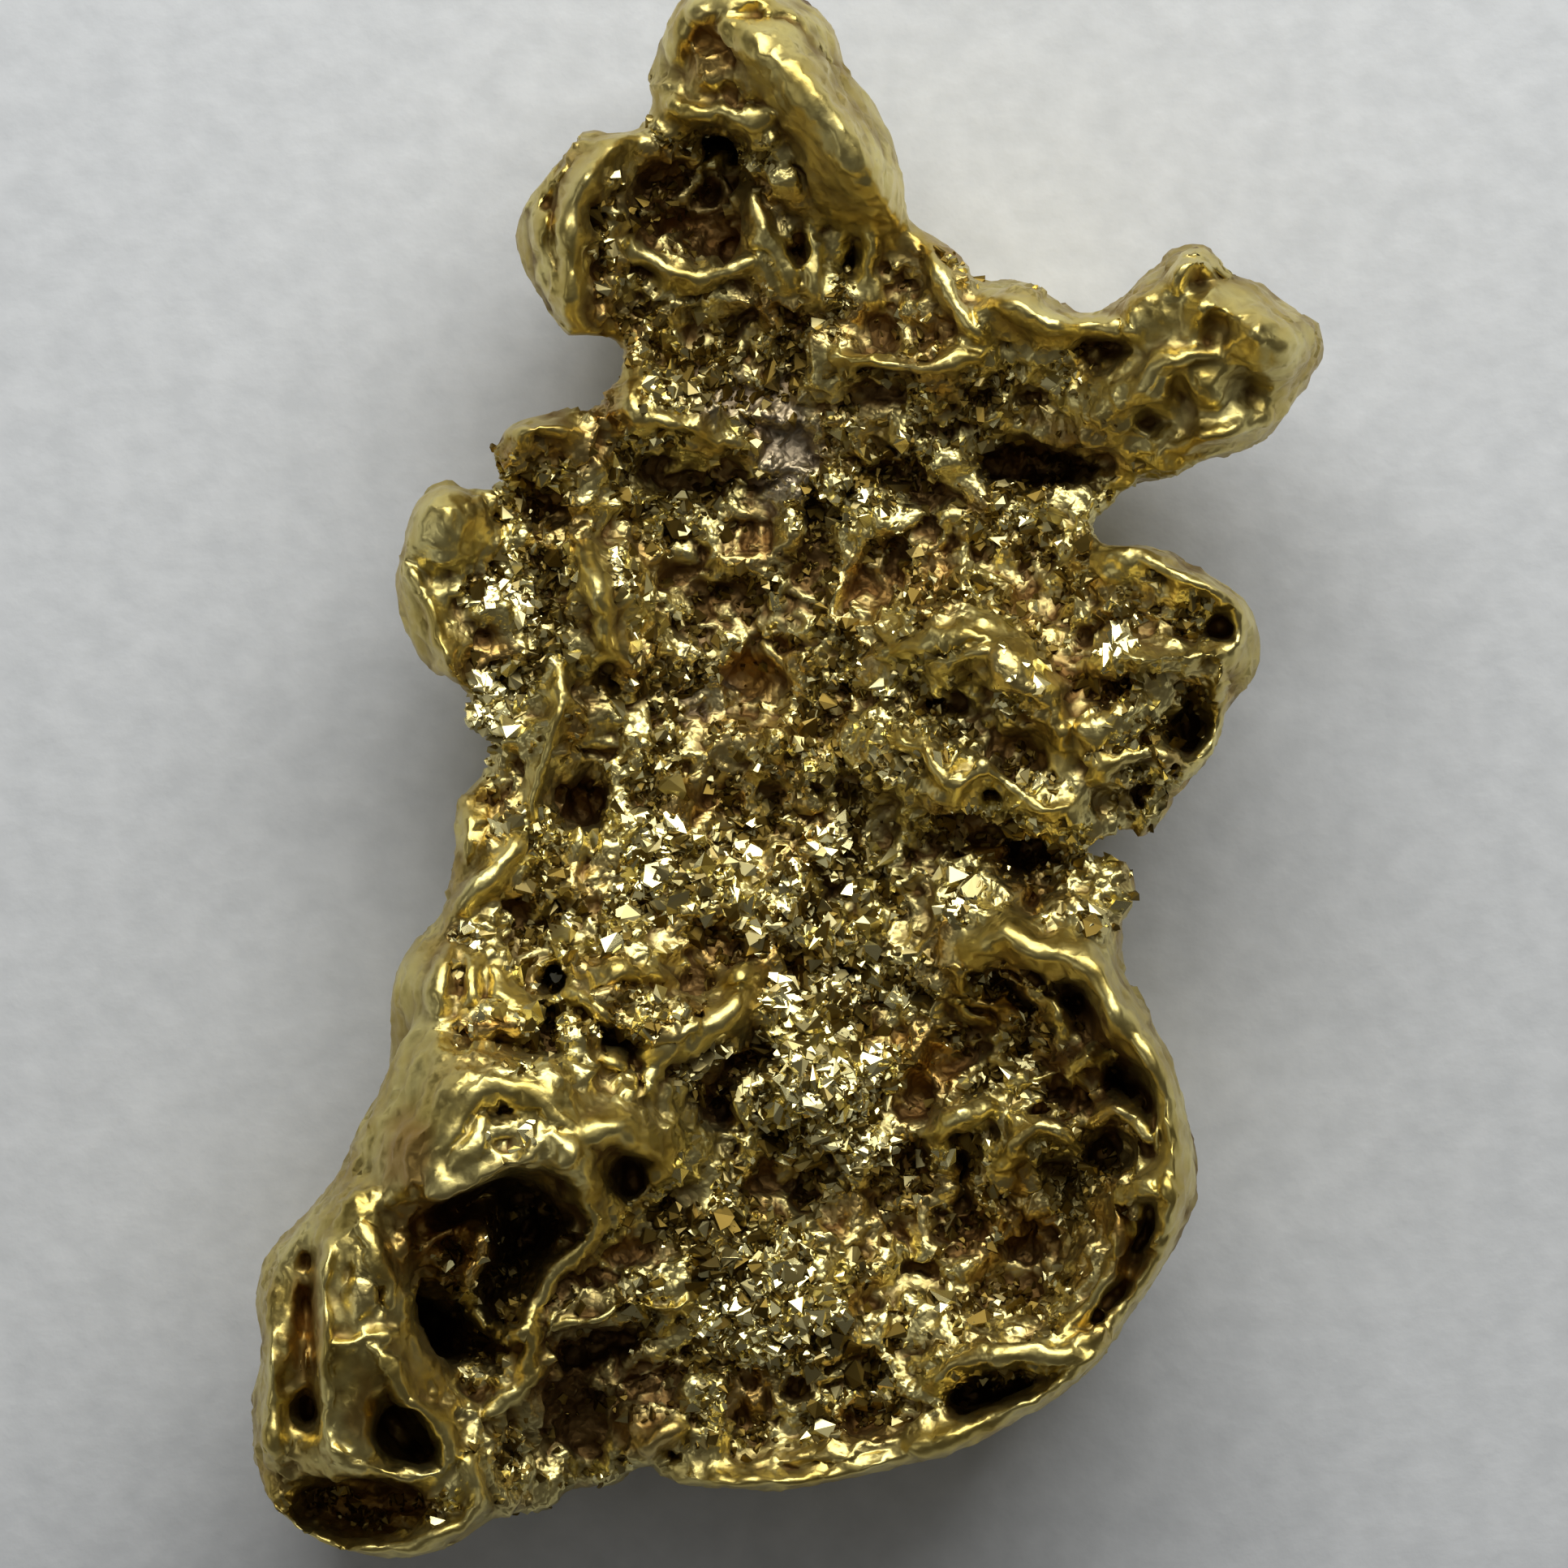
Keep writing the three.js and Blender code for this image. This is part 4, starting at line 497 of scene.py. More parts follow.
# %% The ridges
# Each ridge: its points, its width and its height.
RIDGES = {
    # crown
    "crown_crest": ([(-0.67, 9.39), (-0.26, 9.18), (-0.02, 8.89), (0.21, 8.58), (0.52, 8.14),
        (0.85, 7.73), (1.16, 7.38), (1.37, 7.05)], 0.34, 0.24),
    "crown_arch": ([(-1.39, 9.1), (-1.28, 9.62), (-0.88, 9.8), (-0.31, 9.82),
        (0.19, 9.68)], 0.22, 0.25),
    "crown_knob": ([(0.16, 9.68), (0.52, 9.45), (0.64, 9.14)], 0.18, 0.2),
    "crown_lip": ([(-1.57, 8.5), (-1.24, 8.36), (-0.91, 8.39), (-0.6, 8.26),
        (-0.21, 8.28)], 0.13, 0.25),
    "crown_strand": ([(-0.47, 7.36), (-0.33, 6.93), (-0.08, 6.53), (0.06, 6.18)], 0.1, 0.25),
    "crown_foot": ([(0.31, 6.93), (0.37, 6.41), (0.33, 5.97)], 0.1, 0.2),
    "crown_foot_right": ([(1.06, 6.93), (1.01, 6.41), (1.14, 5.99)], 0.11, 0.2),
    "lobe_rim": ([(-2.09, 8.04), (-2.4, 7.75), (-2.61, 7.42), (-2.73, 7.08), (-2.8, 6.67),
        (-2.74, 6.25), (-2.77, 5.87), (-2.63, 5.58), (-2.34, 5.46)], 0.16, 0.3),
    "lobe_web": ([(-2.88, 7.63), (-3.15, 7.34), (-3.19, 7.01), (-3.06, 6.51), (-2.94, 5.99),
        (-2.82, 5.64)], 0.11, 0.2),
    "hollow_rim": ([(-2.09, 6.74), (-1.76, 6.49), (-1.35, 6.29), (-0.91, 6.3),
        (-0.46, 6.49)], 0.1, 0.2),
    # neck and shoulder
    "neck_curl": ([(-1.99, 4.88), (-1.95, 4.59), (-1.76, 4.44), (-1.43, 4.44), (-1.14, 4.32),
        (-0.89, 4.13)], 0.08, 0.22),
    "neck_ledge": ([(0.6, 5.27), (1.14, 5.22), (1.76, 5.13), (2.4, 5.28)], 0.09, 0.22),
    "shoulder": ([(1.82, 6.66), (1.86, 6.41), (2.07, 5.99), (2.44, 5.48)], 0.1, 0.2),
    "saddle": ([(2.61, 5.99), (2.84, 5.89), (3.31, 5.68), (3.83, 5.66), (4.27, 5.62)], 0.14, 0.2),
    # arm
    "knuckle": ([(4.93, 6.1), (5.01, 6.33), (5.18, 6.49), (5.38, 6.45), (5.57, 6.3)], 0.12, 0.28),
    "palm": ([(4.39, 4.71), (4.49, 4.88), (4.68, 5.11), (4.89, 5.21), (5.34, 5.29)], 0.1, 0.22),
    "palm_light": ([(3.93, 5.56), (4.27, 5.64)], 0.12, 0.2),
    "arm_bump": ([(5.24, 5.91), (5.4, 5.89)], 0.18, 0.26),
    "arm_tip": ([(6.05, 5.89), (6.23, 5.58)], 0.38, 0.14),
    "arm_lower": ([(4.97, 4.11), (5.38, 4.25), (5.8, 4.3)], 0.12, 0.12),
    # left side
    "left_back_rim": ([(-4.87, 2.58), (-4.66, 2.25), (-4.48, 1.83), (-4.35, 1.34),
        (-4.18, 1)], 0.1, 0.25),
    "left_ledge": ([(-3.62, 4.32), (-3.21, 4.38), (-2.77, 4.3)], 0.12, 0.22),
    "left_spine": ([(-2.57, 2.78), (-2.42, 2.35), (-2.32, 1.85), (-2.28, 1.54)], 0.14, 0.4),
    "left_wall": ([(-2.9, 1.23), (-2.9, 0.69), (-3.02, 0.26), (-3.19, -0.16),
        (-3.26, -0.55)], 0.09, 0.25),
    "left_spur": ([(-3.42, -0.94), (-3.81, -1.44), (-4.24, -1.79)], 0.12, 0.22),
    "left_edge": ([(-4.04, -0.49), (-4.1, -1.15)], 0.1, 0.2),
    "basin_tick": ([(-0.29, 1.56), (-0.08, 1.38)], 0.07, 0.16),
    # right lobe and block
    "right_brow": ([(4.02, 2.76), (4.66, 2.68), (4.89, 2.52), (5.38, 2.33), (5.73, 2.04),
        (5.78, 1.65)], 0.13, 0.22),
    "right_bar": ([(3.93, 1.27), (4.35, 1.4), (4.87, 1.38), (5.13, 1.43),
        (5.51, 1.44)], 0.12, 0.28),
    "right_side": ([(5.51, 1.42), (5.49, 0.51), (5.18, 0.09)], 0.1, 0.2),
    "right_diagonal": ([(3.73, 0.5), (4.14, 0.57), (4.47, 0.94)], 0.1, 0.25),
    "right_lower": ([(3.93, -0.11), (4.14, 0.08), (4.66, 0.2), (5.09, 0.09)], 0.1, 0.22),
    "block_top": ([(1.39, 1.52), (1.86, 1.65), (2.46, 1.7)], 0.11, 0.22),
    "block_front": ([(1.86, 1.22), (2.12, 1.39), (2.55, 1.54)], 0.09, 0.2),
    "block_slope": ([(2.55, 1.54), (2.9, 1.25), (3.25, 0.84), (3.42, 0.3)], 0.26, 0.2),
    "block_ledge": ([(1.43, 0.35), (1.76, 0.25), (1.88, -0.03), (2.13, -0.22), (2.38, -0.11),
        (2.51, 0.05), (2.8, -0.16), (3.02, -0.34), (3.33, -0.54), (3.64, -0.42)], 0.1, 0.28),
    "block_eye": ([(3.02, -0.07), (3.25, -0.03), (3.33, -0.2), (3.21, -0.32),
        (3.02, -0.26)], 0.05, 0.1),
    # bowl
    "bowl_rim": ([(2.42, -2.31), (2.8, -2.08), (3.11, -2.33), (3.33, -2.34), (3.64, -2.39),
        (3.93, -2.56), (4.06, -2.87), (4.31, -3.24), (4.58, -3.55), (4.8, -3.9), (4.95, -4.46),
        (5.01, -5.04), (4.97, -5.54), (4.84, -6.04), (4.47, -6.66)], 0.2, 0.22),
    "bowl_foot_rim": ([(3.88, -7.44), (3.42, -7.86), (2.8, -8.17), (1.97, -8.56), (0.83, -8.93),
        (-0.41, -9.12), (-1.39, -9.08)], 0.15, 0.2),
    "bowl_slot_lip": ([(1.86, -7.78), (2.07, -7.58), (2.59, -7.45), (3.11, -7.4),
        (3.75, -7.49)], 0.1, 0.3),
    "bowl_shelf": ([(2.77, -2.54), (3.02, -2.82), (3.42, -2.97), (3.54, -3.36)], 0.08, 0.22),
    "bowl_upper_curl": ([(3.6, -4.03), (3.64, -3.78), (3.83, -3.65), (4.18, -3.61)], 0.1, 0.42),
    "bowl_middle_curl": ([(3.93, -4.5), (4.08, -4.32), (4.29, -4.28), (4.53, -4.46),
        (4.68, -4.79)], 0.1, 0.42),
    "bowl_lower_curl": ([(2.74, -5.06), (2.9, -4.77), (3.21, -4.52), (3.52, -4.67),
        (3.77, -4.86)], 0.1, 0.42),
    "bowl_inner_curl": ([(1.9, -4.65), (2.17, -4.42), (2.57, -4.3)], 0.1, 0.4),
    "bowl_arc": ([(2.61, -3.67), (2.9, -3.9), (3.19, -3.94), (3.44, -3.82)], 0.07, 0.3),
    "bowl_hook": ([(2.13, -2.95), (2.34, -3.16), (2.61, -3.22)], 0.08, 0.3),
    "bowl_thread": ([(2.17, -2.58), (2.34, -2.91), (2.75, -3.03)], 0.07, 0.3),
    "bowl_tab": ([(4.14, -5.52), (4.43, -5.29), (4.7, -5.35)], 0.1, 0.28),
    "slot_wall": ([(4.16, -5.6), (4.2, -6.12), (3.95, -6.64), (3.54, -7.15)], 0.1, 0.2),
    # leaf and the knots round it
    "leaf_top": ([(-2.51, -2.74), (-2.36, -2.6), (-2.22, -2.52), (-1.97, -2.59),
        (-1.53, -2.67)], 0.1, 0.25),
    "leaf_bar": ([(-2.82, -2.8), (-2.54, -3.01), (-2.26, -3.22)], 0.08, 0.3),
    "leaf_knob": ([(-2.3, -3.64), (-2.09, -3.62)], 0.14, 0.26),
    "leaf_side": ([(-0.75, -2.64), (-0.58, -2.58), (-0.41, -2.6)], 0.13, 0.24),
    "leaf_foot": ([(-1.72, -4.03), (-1.7, -3.67), (-1.51, -3.6), (-1.06, -3.36), (-0.71, -3.07),
        (-0.59, -2.83)], 0.14, 0.34),
    "cluster_left": ([(-4.29, -2.27), (-4.43, -2.6), (-4.47, -2.87), (-4.39, -3.2)], 0.11, 0.28),
    "cluster_middle": ([(-4.08, -2.35), (-3.98, -2.64), (-4, -2.97)], 0.09, 0.24),
    "cluster_right": ([(-3.79, -2.56), (-3.66, -2.81), (-3.4, -3.03)], 0.09, 0.22),
    # lower left lobe
    "lobe_crest": ([(-4.78, -5.37), (-4.55, -4.98), (-4.3, -4.57), (-4.02, -4.17), (-3.62, -4.02),
        (-3.25, -4.11), (-2.9, -4.4), (-2.57, -4.67)], 0.13, 0.16),
    "lobe_top_fold": ([(-4.24, -5.08), (-3.95, -4.67), (-3.83, -4.38)], 0.1, 0.16),
    "lobe_top_curl": ([(-3.79, -5.08), (-3.42, -5.04), (-3.19, -4.77),
        (-3.21, -4.38)], 0.1, 0.16),
    "lobe_pit_rim": ([(-3.83, -4.25), (-3.66, -4.15), (-3.42, -4.17), (-3.33, -4.42)], 0.06, 0.1),
    "lobe_oval_rim": ([(-2.98, -4.4), (-2.9, -4.71), (-2.73, -4.92)], 0.07, 0.14),
    "lobe_right_branch": ([(-2.61, -4.67), (-2.17, -4.55), (-1.86, -4.76),
        (-1.7, -4.98)], 0.2, 0.3),
    "lobe_neck": ([(-2.8, -4.67), (-2.63, -5.08), (-2.51, -5.56)], 0.2, 0.3),
    "lobe_down_branch": ([(-2.8, -4.65), (-2.65, -5.08), (-2.53, -5.5), (-2.43, -5.75),
        (-2.55, -6.04), (-2.9, -6.35), (-3.17, -6.66), (-3.26, -6.97), (-3.31, -7.61)], 0.1, 0.35),
    "lobe_inner_strand": ([(-3.71, -5.68), (-3.89, -6.01), (-4.03, -6.41), (-4.04, -6.76),
        (-3.87, -7.07), (-3.6, -7.2), (-3.29, -7.15)], 0.1, 0.7),
    "plateau_edge": ([(-5.42, -5.79), (-5.28, -5.95), (-5.13, -6.33), (-5.01, -6.8)], 0.09, 0.25),
    "plateau_rim": ([(-5.86, -5.95), (-5.88, -6.74), (-5.88, -7.77), (-5.86, -8.52)], 0.09, 0.2),
    "plateau_bridge": ([(-5.82, -7.28), (-5.38, -7.26), (-4.97, -7.11)], 0.08, 0.16),
    "lobe_bright_edge": ([(-5.22, -7.38), (-5.01, -7.59), (-4.82, -8), (-4.58, -8.23),
        (-4.33, -8.4), (-4.31, -8.66), (-4.39, -8.87)], 0.13, 0.32),
    "lobe_wall_foot": ([(-5.86, -8.56), (-5.55, -8.84), (-5.07, -8.98), (-4.64, -9.04),
        (-4.33, -8.87)], 0.1, 0.26),
    "outer_wall": ([(-6.54, -7.26), (-6.58, -7.98), (-6.56, -8.81)], 0.14, 0.2),
    "ring_rim": ([(-6.75, -9.12), (-6.5, -9.51), (-5.92, -9.87), (-5.38, -9.95), (-4.82, -9.89),
        (-4.16, -9.64), (-3.91, -9.33), (-4.06, -8.83)], 0.13, 0.25),
    "cavity_side": ([(-3.83, -8.2), (-3.51, -7.98), (-3.21, -7.67)], 0.09, 0.22),
    "thin_ledge": ([(-2.9, -7.06), (-2.38, -6.99), (-1.97, -6.79), (-1.45, -6.89),
        (-1.22, -6.73)], 0.06, 0.2),
    "foot_curl": ([(-1.78, -8.79), (-1.72, -8.56), (-1.55, -8.44), (-1.3, -8.4)], 0.1, 0.25),
}

# %% Raise the ridges
FINE_VOXEL = 0.06
RIDGE_SPREAD, RIDGE_GAIN = 1.4, 1.4
RIDGE_WANDER_SIZE, RIDGE_WANDER = 0.28, 0.09
UNEVEN_SIZE, UNEVEN, THIN = 0.4, 1.0, 0.09
LOWEST_PART, HIGHEST_PART = 0.35, 1.4
SPIRE, SPIRE_WEAR, SPIRE_REACH = 0.3, 0.6, 60

nugget_mesh = after_modifier(block, "REMESH", mode="VOXEL", voxel_size=FINE_VOXEL)
even_out(nugget_mesh, 2)
places = places_of(nugget_mesh)
plan = wandering_plan(places, RIDGE_WANDER_SIZE, RIDGE_WANDER)
lift = np.zeros(len(places))
bumpy = lumps(places, UNEVEN_SIZE)
for points, width, height in RIDGES.values():
    ridge = np.zeros(len(places))
    raise_stroke(ridge, plan, points, width * RIDGE_SPREAD, height * RIDGE_GAIN)
    ridge *= np.clip(1 + min(UNEVEN, THIN / width) * bumpy, LOWEST_PART, HIGHEST_PART)
    lift = np.maximum(lift, ridge)
proud = places[:, 2] - blurred(nugget_mesh, places[:, 2], SPIRE_REACH)
lift -= SPIRE_WEAR * np.clip(proud - SPIRE, 0, None)
places[:, 2] += lift * upper_share(places)
put_places(nugget_mesh, places)
even_out(nugget_mesh, 1, 0.3)
print(len(RIDGES), "ridges, fine skin", len(nugget_mesh.vertices), "points")

# %% [markdown]
# ## Where the gold is smooth and where it is grainy
# A river polishes what sticks out. A mask from 0 to 1 says how grainy each point is. It
# starts at 1, and smooth ovals of the plan, the ridges and the low flanks take it away.
# Crumpled ovals give some of it back. The mask drives the relief, the loose crystals and
# the material, so the three always agree.

# %% Smooth and crumpled patches
# Each patch: x, y, half its width, half its length and its strength.
SMOOTH_PATCHES = [
    (0.95, 7.91, 0.75, 1.1, 1.0), (-1.04, 9.02, 0.5, 0.6, 0.9), (-0.1, 9.41, 0.9, 0.5, 1.0),
    (-3.21, 6.82, 0.5, 1.2, 1.0), (5.49, 5.27, 1.5, 1.5, 0.85), (2.9, 5.84, 0.7, 0.4, 0.5),
    (-4.4, 3.2, 0.55, 0.55, 1.0), (-4.66, 1.85, 0.45, 1.0, 0.9), (-4.09, -0.73, 0.3, 0.9, 0.6),
    (2.9, 1.21, 0.35, 0.3, 0.7), (5.8, 1.75, 0.35, 0.8, 0.8), (-4.87, -3.63, 0.55, 1.9, 1.0),
    (-4.45, -4.88, 1.1, 1.2, 1.0), (-5.59, -7.15, 1.2, 2.2, 1.0), (-2.9, -4.67, 1.2, 0.7, 0.9),
    (-6.52, -7.77, 0.3, 1.6, 0.8), (4.87, -4.67, 0.45, 2.4, 1.0), (4.45, -6.74, 0.5, 1.0, 0.9),
    (1.35, -8.96, 3.0, 0.3, 0.8), (4.14, -3.94, 0.5, 1.0, 0.4), (-6.63, -9.43, 0.2, 0.4, 0.8),
]
CRUMPLED_PATCHES = [
    (-3.57, -4.62, 0.6, 0.35, 0.5), (-5.36, -6.48, 0.22, 0.5, 0.6), (-5.38, -9.33, 0.9, 0.25, 0.8),
    (2.59, 0.71, 0.8, 0.8, 0.85), (4.66, 0.92, 0.6, 0.9, 0.85), (-1.76, -3.12, 0.6, 0.3, 0.5),
    (3.73, -4.88, 0.6, 1.2, 0.6), (-4.04, -6.33, 0.9, 0.9, 0.6), (-0.93, 9, 0.3, 0.4, 0.7),
]

# %% The grain mask
FLANK_TOP, FLANK_POLISH = 2.1, 0.75
LEAST_POLISH, POLISH_RISE, BROAD_RIDGE = 0.35, 3, 0.18


def grain_mask(places):
    """1 where the surface keeps its crystals, 0 where it is worn smooth."""
    plan = places[:, :2]
    smooth = patch_share(plan, SMOOTH_PATCHES, SMOOTH_FADE)
    for points, width, _ in RIDGES.values():
        away, _ = stroke_distance(plan, points, 2.4 * width)
        polish = LEAST_POLISH + POLISH_RISE * min(width, BROAD_RIDGE)
        smooth = np.maximum(smooth, polish * np.clip(2 - away / width, 0, 1))
    for *oval, strength in CRUMPLED_PATCHES:
        smooth *= 1 - strength * oval_share(plan, oval, SMOOTH_FADE)
    flank = FLANK_POLISH * np.clip(FLANK_TOP - places[:, 2], 0, 1)
    return 1 - np.maximum(smooth, flank)


places = places_of(nugget_mesh)
grainy = grain_mask(places)
print("grainy share", round(float(grainy.mean()), 2))

# %% [markdown]
# ## Crags, plates and dents
# The grainy gold looks like crumpled foil. Ridged noise gives it crags and creases. A
# Voronoi pattern, in which each cell has its own height and tilt, gives it slabs and
# smaller plates, and thin folds wind over them. The worn gold gets dents, wrinkles and
# scratches. All of these move the skin along its own direction. At the end, what sticks
# out is worn towards the skin round it, and the highest ground is pressed flatter.

# %% Noises for the relief
FOLD_WIDTH = 0.12
SCRATCH_SIZE, SCRATCH_LENGTH = 0.15, 1.1
SCRATCH_BEND_SIZE, SCRATCH_BEND = 1.5, 0.15
SHARP_TIP, ROUNDED_TIP = 0.06, 0.3
TIP_REACH, MEAN_REACH = 25, 14


def crags(places, size):
    """Noise with sharp crests, about 0 in the mean."""
    rough = np.array([
        noise.ridged_multi_fractal(Vector(place) / size, 0.9, 2.2, 3, 1.0, 2.0)
        for place in places
    ])
    return np.clip((rough - rough.mean()) / rough.std(), -1.2, 2)


def plates(places, size, step, tilt):
    """Cells that each have their own height and tilt, with cliffs between them."""
    result = []
    for place in places:
        spot = Vector(place) / size
        middle = noise.voronoi(spot)[1][0]
        own = noise.cell_vector(middle)
        lean = noise.cell_vector(middle + Vector((17, 31, 47))) - Vector((0.5, 0.5, 0.5))
        result.append(step * (own.x - 0.5) + size * tilt * lean.dot(spot - middle))
    return np.array(result)


def folds(places, size):
    """Thin winding crests, along the lines where soft noise crosses nought."""
    crest = np.exp(-(lumps(places, size) / FOLD_WIDTH) ** 2)
    return crest * np.clip(4 * lumps(places + 40, size), 0, 1)


def scratches(places):
    """Long fine furrows that run up and down the nugget's length."""
    bent = places + SCRATCH_BEND * lumps(places, SCRATCH_BEND_SIZE)[:, None]
    return lumps(bent * (1, SCRATCH_SIZE / SCRATCH_LENGTH, 1), SCRATCH_SIZE)


def rounded(mesh, places, hardness):
    """The places, with whatever sticks out worn towards the mean of the skin round it."""
    tips = places[:, 2] - blurred(mesh, places[:, 2], TIP_REACH)
    worn = hardness * np.clip((tips - SHARP_TIP) / (ROUNDED_TIP - SHARP_TIP), 0, 1)
    mean = np.stack([blurred(mesh, axis, MEAN_REACH) for axis in places.T], axis=1)
    return places + worn[:, None] * (mean - places)


# %% The relief
CRAG_SIZE, CRAG_HEIGHT = 1.5, 0.13
CREASE_SIZE, CREASE_HEIGHT = 0.5, 0.045
SLAB_SIZE, SLAB_STEP, SLAB_TILT = 0.65, 0.16, 0.6
PLATE_SIZE, PLATE_STEP, PLATE_TILT = 0.27, 0.09, 0.8
FOLD_SIZE, FOLD_HEIGHT = 0.9, 0.08
DENT_SIZE, DENT_HEIGHT = 0.6, 0.06
WRINKLE_SIZE, WRINKLE_HEIGHT = 0.32, 0.024
SCRATCH_HEIGHT = 0.05
RELIEF_FLOOR, SIDE_RELIEF = 0.3, 0.35
GRAINY_TOUGHNESS = 0.55
HIGH_GROUND, FLATTENED = 5.75, 0.5

rough = np.flatnonzero(grainy > 0.02)
relief = DENT_HEIGHT * lumps(places, DENT_SIZE)
relief += WRINKLE_HEIGHT * crags(places, WRINKLE_SIZE)
relief += SCRATCH_HEIGHT * scratches(places)
relief *= 1 - grainy
relief[rough] += grainy[rough] * (
    CRAG_HEIGHT * crags(places[rough], CRAG_SIZE)
    + CREASE_HEIGHT * crags(places[rough], CREASE_SIZE)
    + plates(places[rough], SLAB_SIZE, SLAB_STEP, SLAB_TILT)
    + plates(places[rough], PLATE_SIZE, PLATE_STEP, PLATE_TILT)
)
relief[rough] += grainy[rough] ** 0.5 * FOLD_HEIGHT * folds(places[rough], FOLD_SIZE)
normals = normals_of(nugget_mesh)
facing_up = SIDE_RELIEF + (1 - SIDE_RELIEF) * np.clip(normals[:, 2], 0, 1)
relief *= np.clip(places[:, 2] / RELIEF_FLOOR, 0, 1) * facing_up
places += normals * relief[:, None]
places = rounded(nugget_mesh, places, 1 - GRAINY_TOUGHNESS * grainy)
places[:, 2] -= FLATTENED * np.clip(places[:, 2] - HIGH_GROUND, 0, None)
put_places(nugget_mesh, places)
print("relief from", round(relief.min(), 3), "to", round(relief.max(), 3), "mm")

# %% [markdown]
# ## What the material needs to know
# Four numbers a point travel with the mesh. "grainy" is the mask from above. "hollow" is
# how far a point lies below the mean of the skin round it, near and wide. It darkens the
# gold both as the iron stain of a nugget's holes and as painted shade in them, and patches
# of painted shade and painted shade on steep walls add to it. "clay" and "ochre" say where
# earth still sticks to the gold.

# %% Clay, ochre and painted shade
# Each patch: x, y, half its width, half its length and its strength.
CLAY_PATCHES = [
    (-0.93, 4.83, 0.4, 0.35, 0.7), (0.02, 4.11, 0.4, 0.8, 0.9), (-0.41, 4.65, 0.5, 0.3, 0.7),
    (-1.14, 1.13, 0.5, 0.5, 0.4),
]
OCHRE_PATCHES = [
    (-4.81, -4.88, 0.3, 0.5, 0.8), (-3.78, -3.26, 0.4, 0.12, 1.0), (-3.26, 3.41, 0.4, 0.2, 0.8),
    (-0.52, 1.23, 0.35, 0.3, 0.9), (1.66, -3.63, 0.35, 0.5, 0.7), (1.64, -5.13, 0.25, 0.45, 0.8),
    (4.28, -6.07, 0.15, 0.5, 0.9), (2.8, -2.91, 0.4, 0.5, 0.5), (-1.04, 9.1, 0.3, 0.4, 0.6),
    (-4.35, -6.01, 0.7, 0.6, 0.8), (-1.76, -8.5, 0.5, 0.3, 0.5), (-2.8, 4.03, 0.6, 0.3, 0.5),
    (-5.38, -8.08, 0.2, 0.4, 0.7), (-5.28, -9.33, 0.8, 0.25, 0.7), (-6.13, -7.15, 0.2, 0.9, 0.7),
]
# Painted shade: these patches paint dark brown on places that lie in shade.
PAINTED_SHADE_PATCHES = [
    (-1.35, 7.13, 0.9, 0.75, 0.5), (-2.38, -7.98, 1.1, 0.7, 0.6), (3.42, 4.03, 0.9, 0.4, 0.4),
    (2.28, 4.44, 0.5, 0.5, 0.3), (3.83, -3.63, 0.6, 0.9, 0.4), (2.17, -6.01, 0.5, 0.5, 0.45),
    (-0.72, -4.1, 0.5, 0.5, 0.35), (1.09, -5.34, 0.3, 0.2, 0.4), (-3, -5.81, 0.5, 0.5, 0.4),
    (-4.24, -7.26, 0.5, 0.3, 0.3), (-2.59, -0.32, 0.5, 0.4, 0.4), (-3.42, -7.98, 0.5, 0.5, 0.4),
    (-0.41, 2.27, 1.0, 1.0, 0.42), (1.97, 3.2, 0.6, 0.5, 0.3), (-2.9, 4.13, 0.5, 0.4, 0.35),
    (-0.21, 4.03, 0.5, 0.9, 0.3), (-2.8, -7.36, 0.9, 0.9, 0.4), (0.93, 4.96, 0.7, 0.4, 0.3),
]

# %% Attributes for the material
NEAR_REACH, NEAR_DEPTH, NEAR_WEIGHT = 12, 0.1, 0.45
WIDE_REACH, WIDE_DEPTH, WIDE_WEIGHT = 150, 0.45, 0.9
# Painted shade on steep walls, darker the more a wall faces sideways.
STEEP_PAINTED_SHADE = 0.16
CLEAN_BELOW, STAIN_AND_SHADE_FADE = 0.8, 0.8


def store(mesh, name, values):
    """Keeps one number a point on the mesh, for the material."""
    layer = mesh.attributes.new(name, "FLOAT", "POINT")
    layer.data.foreach_set("value", values.astype(np.float32))


places = places_of(nugget_mesh)
height = places[:, 2]
normals = normals_of(nugget_mesh)
ragged_plan = wandering_plan(places, RAGGED_SIZE, RAGGED)
dark = patch_share(ragged_plan, PAINTED_SHADE_PATCHES, EARTH_FADE)
# Painted shade together with iron stain: the lower a point lies below the skin round it, the darker it
# is painted.
near_depth = (blurred(nugget_mesh, height, NEAR_REACH) - height) / NEAR_DEPTH
wide_depth = (blurred(nugget_mesh, height, WIDE_REACH) - height) / WIDE_DEPTH
hollow = np.clip(near_depth, -0.5, 1) * NEAR_WEIGHT + np.clip(wide_depth, -0.3, 1) * WIDE_WEIGHT
# Painted shade from the patches.
hollow += dark
# Painted shade on steep walls.
hollow += STEEP_PAINTED_SHADE * np.clip(1 - normals[:, 2], 0, 1)
hollow = np.clip(hollow, 0, 1) * np.clip((height - CLEAN_BELOW) / STAIN_AND_SHADE_FADE, 0, 1)
store(nugget_mesh, "grainy", grainy)
store(nugget_mesh, "hollow", hollow)
store(nugget_mesh, "clay", patch_share(ragged_plan, CLAY_PATCHES, EARTH_FADE))
store(nugget_mesh, "ochre", patch_share(ragged_plan, OCHRE_PATCHES, EARTH_FADE))
print("hollow share", round(float((hollow > 0.3).mean()), 2))

# %% [markdown]
# ## Fewer triangles where it is plain
# The even skin has far more triangles than it needs on the worn belly. Blender's decimate
# modifier joins triangles where that changes the shape least, so the crags keep theirs.

# %% Thin out the skin
SKIN_TRIANGLES = 196000


def triangles_in(mesh):
    """How many triangles the mesh has, or would have with its faces cut up."""
    return sum(len(face.vertices) - 2 for face in mesh.polygons)


